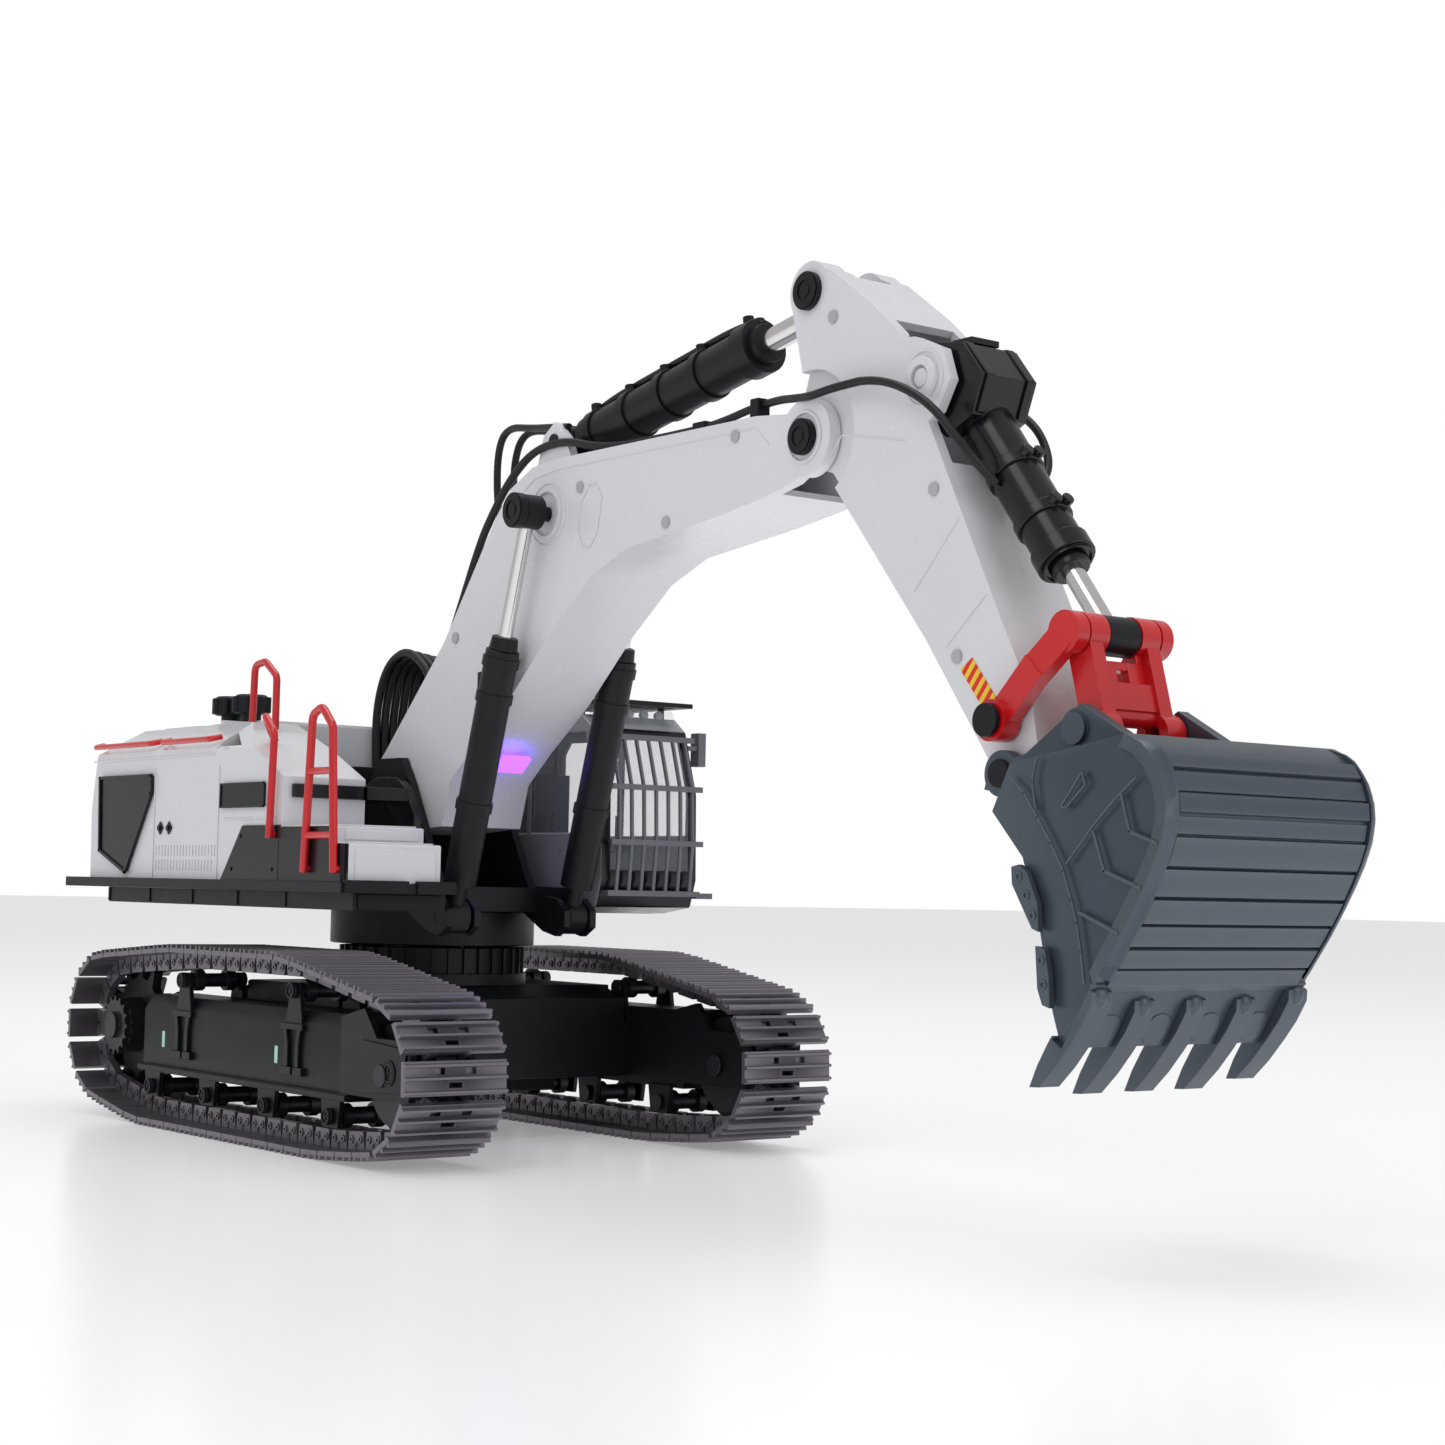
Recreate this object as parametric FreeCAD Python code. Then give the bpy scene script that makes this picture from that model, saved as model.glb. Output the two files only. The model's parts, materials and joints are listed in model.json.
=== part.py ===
"""Radio-control tracked excavator, about 1/14 of full size, in millimetres.

The origin is on the ground under the slew axis. +X points along the boom, +Y to the cab side, +Z up.
Each function makes one sub-part, and write() stores it as parts/NODE.step.
"""
import FreeCAD
import Part
import math
import os

V = FreeCAD.Vector

# Tracks
GAUGE = 160.0                 # between the two track centre lines
SHOE_W = 45.0
LINK_COUNT = 48
LINK_HALF = 3.5               # half height of a link plate
PLATE_T = 2.0
GROUSER_H = 1.5
OUTER = LINK_HALF + PLATE_T + GROUSER_H
SPROCKET = (-122.5, 41.0)
SPROCKET_TEETH = 12
SPROCKET_R = 27.05            # pitch radius
IDLER = (123.0, 35.0)
IDLER_R = 25.0                # radius of the chain's pitch line round the idler
CARRIER_X = (-51.8, 49.2)
CARRIER_Z = 64.2
CARRIER_R = 4.6
TOP_Z = 80.0 - OUTER          # pitch line of the top run
ROLLER_X = (-81.2, -27.0, 27.2, 81.4)
ROLLER_Z = 16.3
ROLLER_R = 5.0
LINK_IN = 5.5                 # link plates, measured from the track's centre line
LINK_OUT = 9.0
RUN = 0.05                    # radial clearance of a running fit

# Slew
RING_TEETH = 48
PINION_TEETH = 12
GEAR_MODULE = 1.375
PINION_X = -GEAR_MODULE * (RING_TEETH - PINION_TEETH) / 2
DRUM_R = 44.8
SPIGOT_R = 14.0

# Upper works
DECK_Z = 107.5
DECK_HALF = 92.0
HOUSE_REAR = -169.0
HOUSE_HALF = 88.0
ROOF_Z = 178.0
HOUSE_FRONT = -40.0
WALL = 2.5
CAB_Y = (38.8, 90.0)
LIFT_Y = 29.3                 # a lift cylinder's distance from the centre plane

# Boom, arm and bucket pivots, as (x, z)
FOOT = (0.0, 150.0)
LIFT_BASE = (65.0, 95.0)
LIFT_TOP = (114.4, 259.3)
ARM_PIVOT = (278.5, 269.5)
STICK_BASE = (108.0, 291.0)
STICK_TOP = (277.3, 322.6)
CURL_BASE = (339.0, 282.0)
ROCKER_FOOT = (382.0, 164.0)
JUNCTION = (409.5, 191.0)
BUCKET_EAR = (418.0, 160.0)
BUCKET_PIVOT = (385.0, 147.0)
BOOM_HALF = 20.0
ARM_HALF = 18.0
FORK_HALF = 15.0
SKIN = 3.0
PIN_R = 3.0
BUCKET_HALF = 45.4


def box(x0, x1, y0, y1, z0, z1):
    return Part.makeBox(x1 - x0, y1 - y0, z1 - z0, V(x0, y0, z0))


def cyl_y(x, z, r, y0, y1):
    return Part.makeCylinder(r, y1 - y0, V(x, y0, z), V(0, 1, 0))


def cyl_z(x, y, r, z0, z1):
    return Part.makeCylinder(r, z1 - z0, V(x, y, z0), V(0, 0, 1))


def cyl_between(a, b, r):
    line = V(*b) - V(*a)
    return Part.makeCylinder(r, line.Length, V(*a), line)


def face_xz(points, y):
    corners = [V(x, y, z) for x, z in points]
    return Part.Face(Part.makePolygon(corners + corners[:1]))


def prism(points, y0, y1):
    """A side outline in X and Z, extruded from y0 to y1."""
    return face_xz(points, y0).extrude(V(0, y1 - y0, 0))


def plate(points, z0, z1):
    """A plan outline in X and Y, extruded from z0 to z1."""
    corners = [V(x, y, z0) for x, y in points]
    return Part.Face(Part.makePolygon(corners + corners[:1])).extrude(V(0, 0, z1 - z0))


def fuse(first, *others):
    return first.multiFuse(list(others)).removeSplitter() if others else first


def mirror(shape):
    return shape.mirror(V(0, 0, 0), V(0, 1, 0))


def both(shape):
    """A piece on the right side and its twin on the left."""
    return [shape, mirror(shape)]


def group(shapes):
    return Part.makeCompound(shapes)


def grow(points, boss_list):
    """An outline with round bosses fused onto it, each (x, z, radius)."""
    def build(y0, y1):
        parts = [cyl_y(x, z, r, y0, y1) for x, z, r in boss_list]
        return fuse(prism(points, y0, y1), *parts)
    return build


def tube_path(points, bend):
    """Straight runs joined by tangent arcs of the given bend radius."""
    pts = [V(*p) for p in points]
    edges = []
    start = pts[0]
    for before, corner, after in zip(pts, pts[1:], pts[2:]):
        into = (corner - before).normalize()
        out = (after - corner).normalize()
        turn = into.getAngle(out)
        reach = min(bend * math.tan(turn / 2), 0.45 * min((corner - before).Length, (after - corner).Length))
        radius = reach / math.tan(turn / 2)
        p, q = corner - into * reach, corner + out * reach
        to_centre = (out - into).normalize()
        centre = corner + to_centre * math.hypot(radius, reach)
        middle = centre - to_centre * radius
        edges.append(Part.LineSegment(start, p).toShape())
        edges.append(Part.Arc(p, middle, q).toShape())
        start = q
    edges.append(Part.LineSegment(start, pts[-1]).toShape())
    return Part.Wire(edges)


def rod(points, r, bend):
    """A round bar or hose along a path."""
    wire = tube_path(points, bend)
    line = V(*points[1]) - V(*points[0])
    ring = Part.Wire(Part.makeCircle(r, V(*points[0]), line))
    return wire.makePipeShell([ring], True, False)


def write(node, shape):
    shape.exportStep("parts/" + node + ".step")


# ---------------------------------------------------------------- undercarriage

def belt_circles():
    """The circles that the chain's pitch line wraps, in order round the loop."""
    lift = TOP_Z - CARRIER_Z
    drop = ROLLER_Z - OUTER
    return [(IDLER, IDLER_R), ((CARRIER_X[1], CARRIER_Z), lift), ((CARRIER_X[0], CARRIER_Z), lift),
            (SPROCKET, SPROCKET_R), ((ROLLER_X[0], ROLLER_Z), drop), ((ROLLER_X[3], ROLLER_Z), drop)]


def belt_segments():
    """Straight runs and arcs of the pitch line, anticlockwise: (length, point at a distance)."""
    circles = belt_circles()
    tangents = []
    for (c0, r0), (c1, r1) in zip(circles, circles[1:] + circles[:1]):
        dx, dz = c1[0] - c0[0], c1[1] - c0[1]
        away = math.atan2(dz, dx) - math.acos((r0 - r1) / math.hypot(dx, dz))
        n = (math.cos(away), math.sin(away))
        tangents.append((away, (c0[0] + r0 * n[0], c0[1] + r0 * n[1]), (c1[0] + r1 * n[0], c1[1] + r1 * n[1])))
    segments = []
    for i, (away, a, b) in enumerate(tangents):
        length = math.dist(a, b)
        segments.append((length, lambda s, a=a, b=b, n=length: (a[0] + (b[0] - a[0]) * s / n,
                                                               a[1] + (b[1] - a[1]) * s / n)))
        centre, r = circles[(i + 1) % len(circles)]
        sweep = (tangents[(i + 1) % len(tangents)][0] - away) % (2 * math.pi)
        segments.append((r * sweep, lambda s, c=centre, r=r, t=away: (c[0] + r * math.cos(t + s / r),
                                                                     c[1] + r * math.sin(t + s / r))))
    return segments


def belt_points():
    """The chain's pin centres, evenly spaced along the pitch line."""
    segments = belt_segments()
    total = sum(length for length, _ in segments)
    points = []
    for i in range(LINK_COUNT):
        s = total * i / LINK_COUNT
        for length, at in segments:
            if s <= length:
                points.append(at(s))
                break
            s -= length
    return points


def shoe(a, b, side):
    """One link pair with its triple-grouser shoe, from pin a to pin b."""
    pitch = math.dist(a, b)
    half = pitch / 2
    y = side * GAUGE / 2
    inner, outer = half - 1.6, half - 0.25
    block = [(-inner, -LINK_HALF), (inner, -LINK_HALF), (outer, LINK_HALF), (-outer, LINK_HALF)]
    solid = box(-outer, outer, y - SHOE_W / 2, y + SHOE_W / 2, LINK_HALF, LINK_HALF + PLATE_T)
    links = [prism(block, y + s * LINK_IN if s > 0 else y - LINK_OUT, y + LINK_OUT if s > 0 else y - LINK_IN)
             for s in (1, -1)]
    ridges = [box(x - 0.7, x + 0.7, y - SHOE_W / 2, y + SHOE_W / 2, LINK_HALF + PLATE_T, OUTER)
              for x in (-half * 0.72, 0, half * 0.72)]
    solid = fuse(solid, *links, *ridges)
    # The loop runs anticlockwise, so the outside of the chain is on the right of its travel.
    angle = math.degrees(math.atan2(b[1] - a[1], b[0] - a[0])) + 180
    solid.rotate(V(0, 0, 0), V(0, -1, 0), angle)
    solid.translate(V((a[0] + b[0]) / 2, 0, (a[1] + b[1]) / 2))
    return solid


def track_chain(side):
    points = belt_points()
    return group([shoe(a, b, side) for a, b in zip(points, points[1:] + points[:1])])


def track_y(offset, side):
    """A y span on one track, from offsets measured outwards from its centre line."""
    low, high = (side * (GAUGE / 2 + o) for o in offset)
    return min(low, high), max(low, high)


def roller(x, z, r, side, boss=13.9):
    """A twin-rim roller on its own shaft, with an end cap outside each bracket."""
    rims = [cyl_y(x, z, r, *track_y(span, side)) for span in ((LINK_IN - 0.3, LINK_OUT + 0.6),
                                                             (-LINK_OUT - 0.6, -LINK_IN + 0.3))]
    core = cyl_y(x, z, r - 1.6, *track_y((-11.0, 11.0), side))
    shaft = cyl_y(x, z, 2.0, *track_y((-boss, boss), side))
    caps = [cyl_y(x, z, 3.4, *track_y(span, side)) for span in ((boss, boss + 1.2), (-boss - 1.2, -boss))]
    return fuse(core, *rims, shaft, *caps)


def track_frame(side):
    """The long track beam with roller brackets, idler yoke, final-drive arm and carrier forks."""
    section = [V(-92, *yz) for yz in ((-12, 23), (13, 23), (13, 50), (9, 56.5), (-12, 56.5))]
    beam = Part.Face(Part.makePolygon(section + section[:1])).extrude(V(189, 0, 0))
    pieces = [beam, box(-92, 97, 13, 15.2, 23, 26)]
    for x in ROLLER_X:
        for y0 in (11.5, -13.5):
            pieces.append(prism([(x - 6, 12), (x + 6, 12), (x + 8, 24), (x - 8, 24)], y0, y0 + 2))
    for x in CARRIER_X:
        for y0 in (11.5, -13.5):
            pieces.append(prism([(x - 7, 50), (x + 7, 50), (x + 3.5, 67.5), (x - 3.5, 67.5)], y0, y0 + 2))
    for y0 in (11.5, -14.5):
        pieces.append(box(90, 143, y0, y0 + 3, 26, 49))
        pieces.append(prism([(90, 49), (118, 49), (108, 60), (90, 56)], y0, y0 + 3))
    pieces.append(prism([(-140, 30), (-85, 26), (-85, 54), (-112, 56), (-140, 50)], -18, -12))
    frame = fuse(pieces[0], *pieces[1:])
    frame = frame.cut(cyl_y(*SPROCKET, 30.2, -4, 4))
    frame = frame.cut(cyl_y(*SPROCKET, 14.5, -12, 16))
    frame = frame.cut(cyl_y(*IDLER, 27.0, -10.5, 10.5))
    frame = frame.cut(cyl_y(*SPROCKET, 3 + RUN, -19, -11))
    frame = frame.cut(cyl_y(*IDLER, 3 + RUN, -20, 20))
    for x in ROLLER_X:
        frame = frame.cut(cyl_y(x, ROLLER_Z, 2 + RUN, -20, 20))
    for x in CARRIER_X:
        frame = frame.cut(cyl_y(x, CARRIER_Z, 2 + RUN, -20, 20))
    if side < 0:
        frame = mirror(frame)
    frame.translate(V(0, side * GAUGE / 2, 0))
    return frame


def toothed_disc(x, z, teeth, root, tip, y0, y1, phase=0.0, fill=0.5):
    """A disc with tapered teeth round its rim; fill is a tooth's share of the pitch at its root."""
    step = 2 * math.pi / teeth
    outline = []
    for i in range(teeth):
        for at, r in ((-fill / 2, root), (-fill / 6, tip), (fill / 6, tip), (fill / 2, root)):
            angle = phase + (i + at) * step
            outline.append((x + r * math.cos(angle), z + r * math.sin(angle)))
    return prism(outline, y0, y1)


def sprocket(side):
    """The driven wheel: toothed disc between the link plates, hub, outer bolt ring and shaft."""
    disc = toothed_disc(*SPROCKET, SPROCKET_TEETH, 22.0, 28.6, *track_y((-2.2, 2.2), side))
    hub = cyl_y(*SPROCKET, 12.5, *track_y((-10.5, 11.0), side))
    ring = toothed_disc(*SPROCKET, 16, 11.5, 13.5, *track_y((11.0, 14.0), side))
    cap = cyl_y(*SPROCKET, 6.0, *track_y((14.0, 16.0), side))
    shaft = cyl_y(*SPROCKET, 3.0, *track_y((-20.0, -10.0), side))
    return fuse(disc, hub, ring, cap, shaft)


def idler(side):
    rims = [cyl_y(*IDLER, 20.1, *track_y(span, side)) for span in ((LINK_IN - 0.3, LINK_OUT),
                                                                  (-LINK_OUT, -LINK_IN + 0.3))]
    flange = cyl_y(*IDLER, 23.8, *track_y((-4.5, 4.5), side))
    web = cyl_y(*IDLER, 17.0, *track_y((-LINK_OUT + 1, LINK_OUT - 1), side))
    hub = cyl_y(*IDLER, 6.5, *track_y((-11.2, 11.2), side))
    shaft = cyl_y(*IDLER, 3.0, *track_y((-14.8, 14.8), side))
    caps = [cyl_y(*IDLER, 4.5, *track_y(span, side)) for span in ((14.8, 16.2), (-16.2, -14.8))]
    return fuse(flange, *rims, web, hub, shaft, *caps)


def travel_motors():
    """A geared motor on the inner side of each final drive."""
    motors = []
    for side in (1, -1):
        can = cyl_y(SPROCKET[0], SPROCKET[1], 12.5, *track_y((-40.0, -20.5), side))
        gearbox = cyl_y(SPROCKET[0], SPROCKET[1], 15.0, *track_y((-20.5, -18.0), side))
        bore = cyl_y(SPROCKET[0], SPROCKET[1], 3 + RUN, *track_y((-21.0, -17.0), side))
        motors.append(fuse(can, gearbox).cut(bore))
    return group(motors)


def carbody_frame():
    """The centre box with its four legs to the track frames and the slew flange on top."""
    legs = [(-57, 26), (57, 26), (57, 60), (40, 65), (-40, 65), (-57, 60)]
    body = prism(legs, -GAUGE / 2 + 12, GAUGE / 2 - 12)
    body = body.cut(box(-30, 30, -69, -46, 20, 44)).cut(box(-30, 30, 46, 69, 20, 44))
    for x in CARRIER_X:
        for y0 in (64.5, -68.5):
            body = body.cut(box(x - 9.5, x + 9.5, y0, y0 + 4, 49.8, 70))
    centre = box(-40, 40, -40, 40, 19.6, 65)
    flange = cyl_z(0, 0, 41.5, 65, 70)
    body = fuse(body, centre, flange)
    body = body.cut(box(-36, 36, -36, 36, 23, 58))
    return body.cut(cyl_z(0, 0, SPIGOT_R + RUN, 50, 75))


def slew_ring():
    """The fixed slew ring: ribbed outside, with internal gear teeth."""
    pitch = GEAR_MODULE * RING_TEETH / 2
    ring = cyl_z(0, 0, 39.0, 70, 81)
    step = 2 * math.pi / RING_TEETH
    hole = []
    for i in range(RING_TEETH):
        for at, r in ((-0.34, pitch - 0.9), (-0.22, pitch + 1.9), (0.22, pitch + 1.9), (0.34, pitch - 0.9)):
            angle = (i + 0.5 + at) * step
            hole.append((r * math.cos(angle), r * math.sin(angle)))
    ring = ring.cut(plate(hole, 69, 82))
    ribs = [box(38.4, 40.6, -0.9, 0.9, 70, 81) for _ in range(36)]
    for i, rib in enumerate(ribs):
        rib.rotate(V(0, 0, 0), V(0, 0, 1), 10 * i)
    return fuse(ring, *ribs)


def slew_pinion():
    pitch = GEAR_MODULE * PINION_TEETH / 2
    step = 2 * math.pi / PINION_TEETH
    outline = []
    for i in range(PINION_TEETH):
        for at, r in ((-0.28, pitch - 1.7), (-0.20, pitch - 0.2), (-0.08, pitch + 1.0),
                      (0.08, pitch + 1.0), (0.20, pitch - 0.2), (0.28, pitch - 1.7)):
            angle = math.pi + (i + 0.5 + at) * step
            outline.append((PINION_X + r * math.cos(angle), r * math.sin(angle)))
    return fuse(plate(outline, 71.5, 80.5), cyl_z(PINION_X, 0, 2.0, 80, 112))


# ---------------------------------------------------------------- upper works

def turntable_drum():
    """The skirt under the deck, with the spigot that turns in the carbody."""
    wall = cyl_z(0, 0, DRUM_R, 82, 97).cut(cyl_z(0, 0, DRUM_R - 3, 81, 94))
    drum = fuse(wall, cyl_z(0, 0, SPIGOT_R, 59, 95))
    return drum.cut(cyl_z(PINION_X, 0, 2 + RUN, 90, 100))


def deck_frame():
    """The deck: edge flange, tray, boom-foot cheeks and lift-cylinder ears."""
    flange = [(-188, -80), (-180, -92), (83, -92), (83, -39), (50, -39), (50, 31), (50, 92), (-180, 92), (-188, 80)]
    tray = [(-172, -70), (-160, -82), (74, -82), (74, -39), (50, -39), (50, 31), (50, 84), (-160, 84), (-172, 70)]
    deck = fuse(plate(flange, 104, DECK_Z), plate(tray, 97, 104))
    cheek = [(-24, DECK_Z - 2), (46, DECK_Z - 2), (18, 152), (10, 163), (-10, 163), (-20, 150)]
    cheeks = [prism(cheek, y, y + 3.5) for y in (BOOM_HALF + 0.8, -BOOM_HALF - 4.3)]
    ear = [(40, 97), (40, 104), (56, 104), (66, 103), (73, 98), (73, 91), (66, 87), (56, 89)]
    ears = [prism(ear, y, y + 3) for y in (21.0, 34.2, -24.0, -37.2)]
    deck = fuse(deck, *cheeks, *ears)
    deck = deck.cut(cyl_y(*FOOT, 5 + RUN, -40, 40))
    deck = deck.cut(cyl_y(*LIFT_BASE, 2.5 + RUN, -40, 40))
    return deck.cut(cyl_z(PINION_X, 0, 2 + RUN, 90, 110))


def slew_motor():
    can = cyl_z(PINION_X, 0, 10, DECK_Z, 128)
    return can.cut(cyl_z(PINION_X, 0, 2 + RUN, DECK_Z - 1, 113))


def house_profile(inset, floor):
    """The engine house's side outline, drawn in by inset."""
    rear, front, roof = HOUSE_REAR + inset, HOUSE_FRONT - inset, ROOF_Z - inset
    return [(rear, floor), (front, floor), (front, roof), (-150, roof), (rear + 4, 165), (rear - 1.0, 140)]


def engine_housing():
    """The hollow rear house and the lower block ahead of it on the right side."""
    rear = prism(house_profile(0, DECK_Z), -HOUSE_HALF, HOUSE_HALF)
    core = prism(house_profile(WALL, DECK_Z - 1), -HOUSE_HALF + WALL, HOUSE_HALF - WALL)
    for s in (1, -1):
        rear = rear.cut(prism_x([(s * 90, 165), (s * 90, 180), (s * 68, 180)], -180, 30))
        core = core.cut(prism_x([(s * 90, 160), (s * 90, 180), (s * 64, 180)], -180, 30))
    rear = rear.cut(core)
    profile = [(-40, DECK_Z), (23, DECK_Z), (23, 152), (-8, 166), (-40, ROOF_Z)]
    inner = [(-41, DECK_Z - 1), (20.5, DECK_Z - 1), (20.5, 149), (-9, 162.5), (-41, 173)]
    front = prism(profile, -HOUSE_HALF, -49).cut(prism(inner, -HOUSE_HALF + WALL, -49 - WALL))
    front = front.cut(prism_x([(-90, 163), (-90, 180), (-68, 180)], -50, 30))
    return fuse(rear, front)


def prism_x(points, x0, x1):
    """A cross-section in Y and Z, extruded from x0 to x1."""
    corners = [V(x0, y, z) for y, z in points]
    return Part.Face(Part.makePolygon(corners + corners[:1])).extrude(V(x1 - x0, 0, 0))


def housing_grilles():
    """Side grilles on both flanks, the small front grille and the black lower panel."""
    mesh = [(-158, 155), (-102, 155), (-101.6, 147), (-127, 111), (-156, 121)]
    panel = [(-31, DECK_Z), (22.8, DECK_Z), (22.8, 131.6), (-11, 131.6)]
    pieces = both(prism(mesh, -HOUSE_HALF - 1.2, -HOUSE_HALF))
    pieces.append(prism(panel, -HOUSE_HALF - 1.2, -HOUSE_HALF))
    pieces.append(box(-32, 8, -HOUSE_HALF - 1.0, -HOUSE_HALF, 139.5, 149.5))
    return group(pieces)


def step_boxes():
    """The stepped boxes ahead of the house on the right: white treads on a black side."""
    lower = box(23, 80, -88, -45, DECK_Z, 124)
    upper = box(23, 66, -88, -45, 124, 131)
    side = box(23, 76.5, -89.4, -88, DECK_Z, 124).fuse(box(23, 66, -89.4, -88, 124, 131))
    return fuse(lower, upper, side)


def equipment_boxes():
    """The valve cover beside the boom foot, and the dark box behind it."""
    return group([box(-39.9, -25.5, -27.9, -14, DECK_Z, 160), box(-39.9, -25.5, 13, 32, DECK_Z, 160)])


def handrails():
    """Roof rails, hand loops and the boarding ladder."""
    side = -HOUSE_HALF - 3.2
    rails = []
    for x0, x1 in ((-166, -102), (-93, -42)):
        ends = [(x0, -84.5, 170.9), (x0 + 1, -89.5, 169.6), (x1 - 1, -89.5, 169.6), (x1, -84.5, 170.9)]
        rails.append(rod(ends, 1.3, 2.5))
    loop = [(-50, -66, ROOF_Z + 0.1), (-49, -66, 204), (-39, -66, 205), (-28, -66, 198), (-28, -66, 174.4)]
    rails.append(rod(loop, 1.6, 4))
    grab = rod([(18, side, 126), (20, side, 170), (12, side, 177), (-7, side + 10, 177), (-10, side + 16, 168.2)], 1.6, 4)
    rails.append(fuse(grab, cyl_y(18.1, 127.6, 1.6, side, -HOUSE_HALF - 1.2)))
    ladder = [rod([(49, side, 112), (53, side, 176), (61, side, 179), (70, side, 171), (74, side, 112)], 1.7, 4)]
    for x0, x1, z in ((51.6, 71.2, 153), (49.9, 73.2, 127)):
        ladder.append(cyl_between((x0, side, z), (x1, side, z), 1.5))
    for x in (49, 74):
        ladder.append(cyl_y(x, 113.5, 1.7, side, -89.4))
    rails.append(fuse(ladder[0], *ladder[1:]))
    return group(rails)


def intake_caps():
    """Two mushroom caps on the roof."""
    caps = []
    for x in (-99, -79):
        stem = cyl_z(x, -52, 5, ROOF_Z, 186)
        caps.append(fuse(stem, cyl_z(x, -52, 8.5, 184.5, 193)))
    return group(caps)


def battery_pack():
    return box(-150, -70, -30, 30, DECK_Z, 139)


def counterweight():
    """Ballast at the tail, in front of the rear wall."""
    return box(-165, -151, -80, 80, DECK_Z, 150)


def control_board():
    board = box(-64, -48, -35, 35, 116, 117.6)
    chips = [box(-62, -52, y, y + 12, 117.6, 121) for y in (-28, -6, 14)]
    posts = [cyl_z(x, y, 2, DECK_Z, 116) for x in (-61, -51) for y in (-31, 31)]
    return fuse(board, *chips, *posts)


def cab_outline(inset):
    """The cab's side outline, drawn in by inset."""
    return [(-37 + inset, 97 + inset), (50, 97 + inset), (70 - inset, 100 + inset), (74 - inset, 112), (73 - inset, 150),
            (64 - inset, 178), (56, 184 - inset), (-30, 184 - inset), (-37 + inset, 176)]


CAB_FRONT_WINDOW = [(60, 116), (80, 116), (80, 150), (72, 174), (60, 174)]
CAB_SIDE_WINDOWS = ([(-31, 132), (14, 132), (14, 176), (-26, 176), (-31, 170)],
                    [(18, 132), (67, 132), (67, 150), (59, 176), (18, 176)])


def cab_shell():
    """The cab's hollow shell, with its windows cut out."""
    shell = prism(cab_outline(0), *CAB_Y).cut(prism(cab_outline(2), CAB_Y[0] + 2, CAB_Y[1] - 2))
    shell = shell.cut(prism(CAB_FRONT_WINDOW, CAB_Y[0] + 5, CAB_Y[1] - 5))
    for window in CAB_SIDE_WINDOWS:
        shell = shell.cut(prism(window, CAB_Y[0] - 5, CAB_Y[1] + 5))
    shell = shell.cut(box(-10, 45, CAB_Y[0] + 12, CAB_Y[1] - 12, 180, 190))
    return shell.cut(box(-60, 50, 20, 100, 90, DECK_Z))


def cab_windows():
    """Panes set in the cab's window openings, and the clear light bar over the windscreen."""
    skin = prism(cab_outline(0.6), *CAB_Y).cut(prism(cab_outline(1.6), CAB_Y[0] - 1, CAB_Y[1] + 1))
    panes = [skin.common(prism(CAB_FRONT_WINDOW, CAB_Y[0] + 5, CAB_Y[1] - 5))]
    for window in CAB_SIDE_WINDOWS:
        for y in (CAB_Y[0] + 0.6, CAB_Y[1] - 1.6):
            panes.append(prism(window, y, y + 1))
    panes.append(box(-10, 45, CAB_Y[0] + 12, CAB_Y[1] - 12, 182.4, 183.4))
    panes.append(prism([(54, 184), (56, 184), (60.5, 180.9), (62.5, 182.5), (60, 187.4), (54, 187.4)], 44, 85))
    return group(panes)


def cab_guard():
    """The barred guard ahead of the windscreen, its frame, the mirror and the boarding step."""
    front = [(74, 106), (76, 128), (75, 152), (68, 174)]
    bars = []
    for i in range(7):
        y = CAB_Y[0] + 6 + i * (CAB_Y[1] - CAB_Y[0] - 12) / 6
        bars.append(rod([(x + 2.5, y, z) for x, z in front], 0.9, 20))
    for x, z in front:
        bars.append(box(x + 1.2, x + 3.8, CAB_Y[0] + 1, CAB_Y[1] - 1, z - 1.2, z + 1.2))
    for x, z in (front[0], front[2], front[3]):
        for y in (CAB_Y[0] + 1, CAB_Y[1] - 4):
            bars.append(box(x - 9, x + 2, y, y + 3, z - 1, z + 1))
    mirror_arm = box(62, 66, CAB_Y[1], 97, 170, 172)
    mirror_head = box(61, 67, 95, 99, 163, 178)
    step = box(62, 74, CAB_Y[1], 99, 104, 106.5)
    guard = fuse(bars[0], *bars[1:], mirror_arm, mirror_head, step)
    return guard.cut(prism(cab_outline(0), *CAB_Y))


def cab_visor():
    """The slotted plate over the roof, on four posts."""
    top = box(14, 70, 41, 89, 188.4, 190.4)
    slots = [box(x, x + 3, 46, 84, 188, 191) for x in range(19, 66, 7)]
    posts = [cyl_z(x, y, 1.5, 184, 189) for x in (20, 50) for y in (43, 86)]
    return fuse(top.cut(group(slots)), *posts)


def cab_interior():
    """Seat, console and levers on the cab floor."""
    seat = fuse(box(-12, 18, 51, 78, 118, 128), box(-18, -10, 51, 78, 124, 160), box(-6, 12, 57, 72, 110, 118))
    floor = box(-34, 49, 41, 87, DECK_Z, 110)
    consoles = [box(-6, 30, y, y + 6, 124, 130) for y in (44, 79)]
    feet = [box(2, 14, y, y + 6, 110, 124) for y in (44, 79)]
    levers = [cyl_z(24, y + 3, 1.2, 130, 141) for y in (44, 79)]
    return fuse(floor, seat, *consoles, *feet, *levers)


# ---------------------------------------------------------------- boom

BOOM_OUTLINE = [(-14, 164), (36, 212), (75, 262), (86, 273), (102, 280), (120, 281.5), (250, 281), (280, 278),
                (288, 262), (272, 254), (253, 250), (225, 246), (170, 240), (146, 231), (120, 212), (88, 184),
                (62, 166), (44, 152), (38, 133), (-2, 130.5), (-18, 142)]


def hollow(build, outline, half, skin):
    """The right half shell of a box section: build(y0, y1) less the outline drawn in by the skin."""
    solid = build(-half, 0)
    core = face_xz(outline, -half + skin).makeOffset2D(-skin)
    return solid.cut(core.extrude(V(0, half - skin + 1, 0)))


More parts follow.
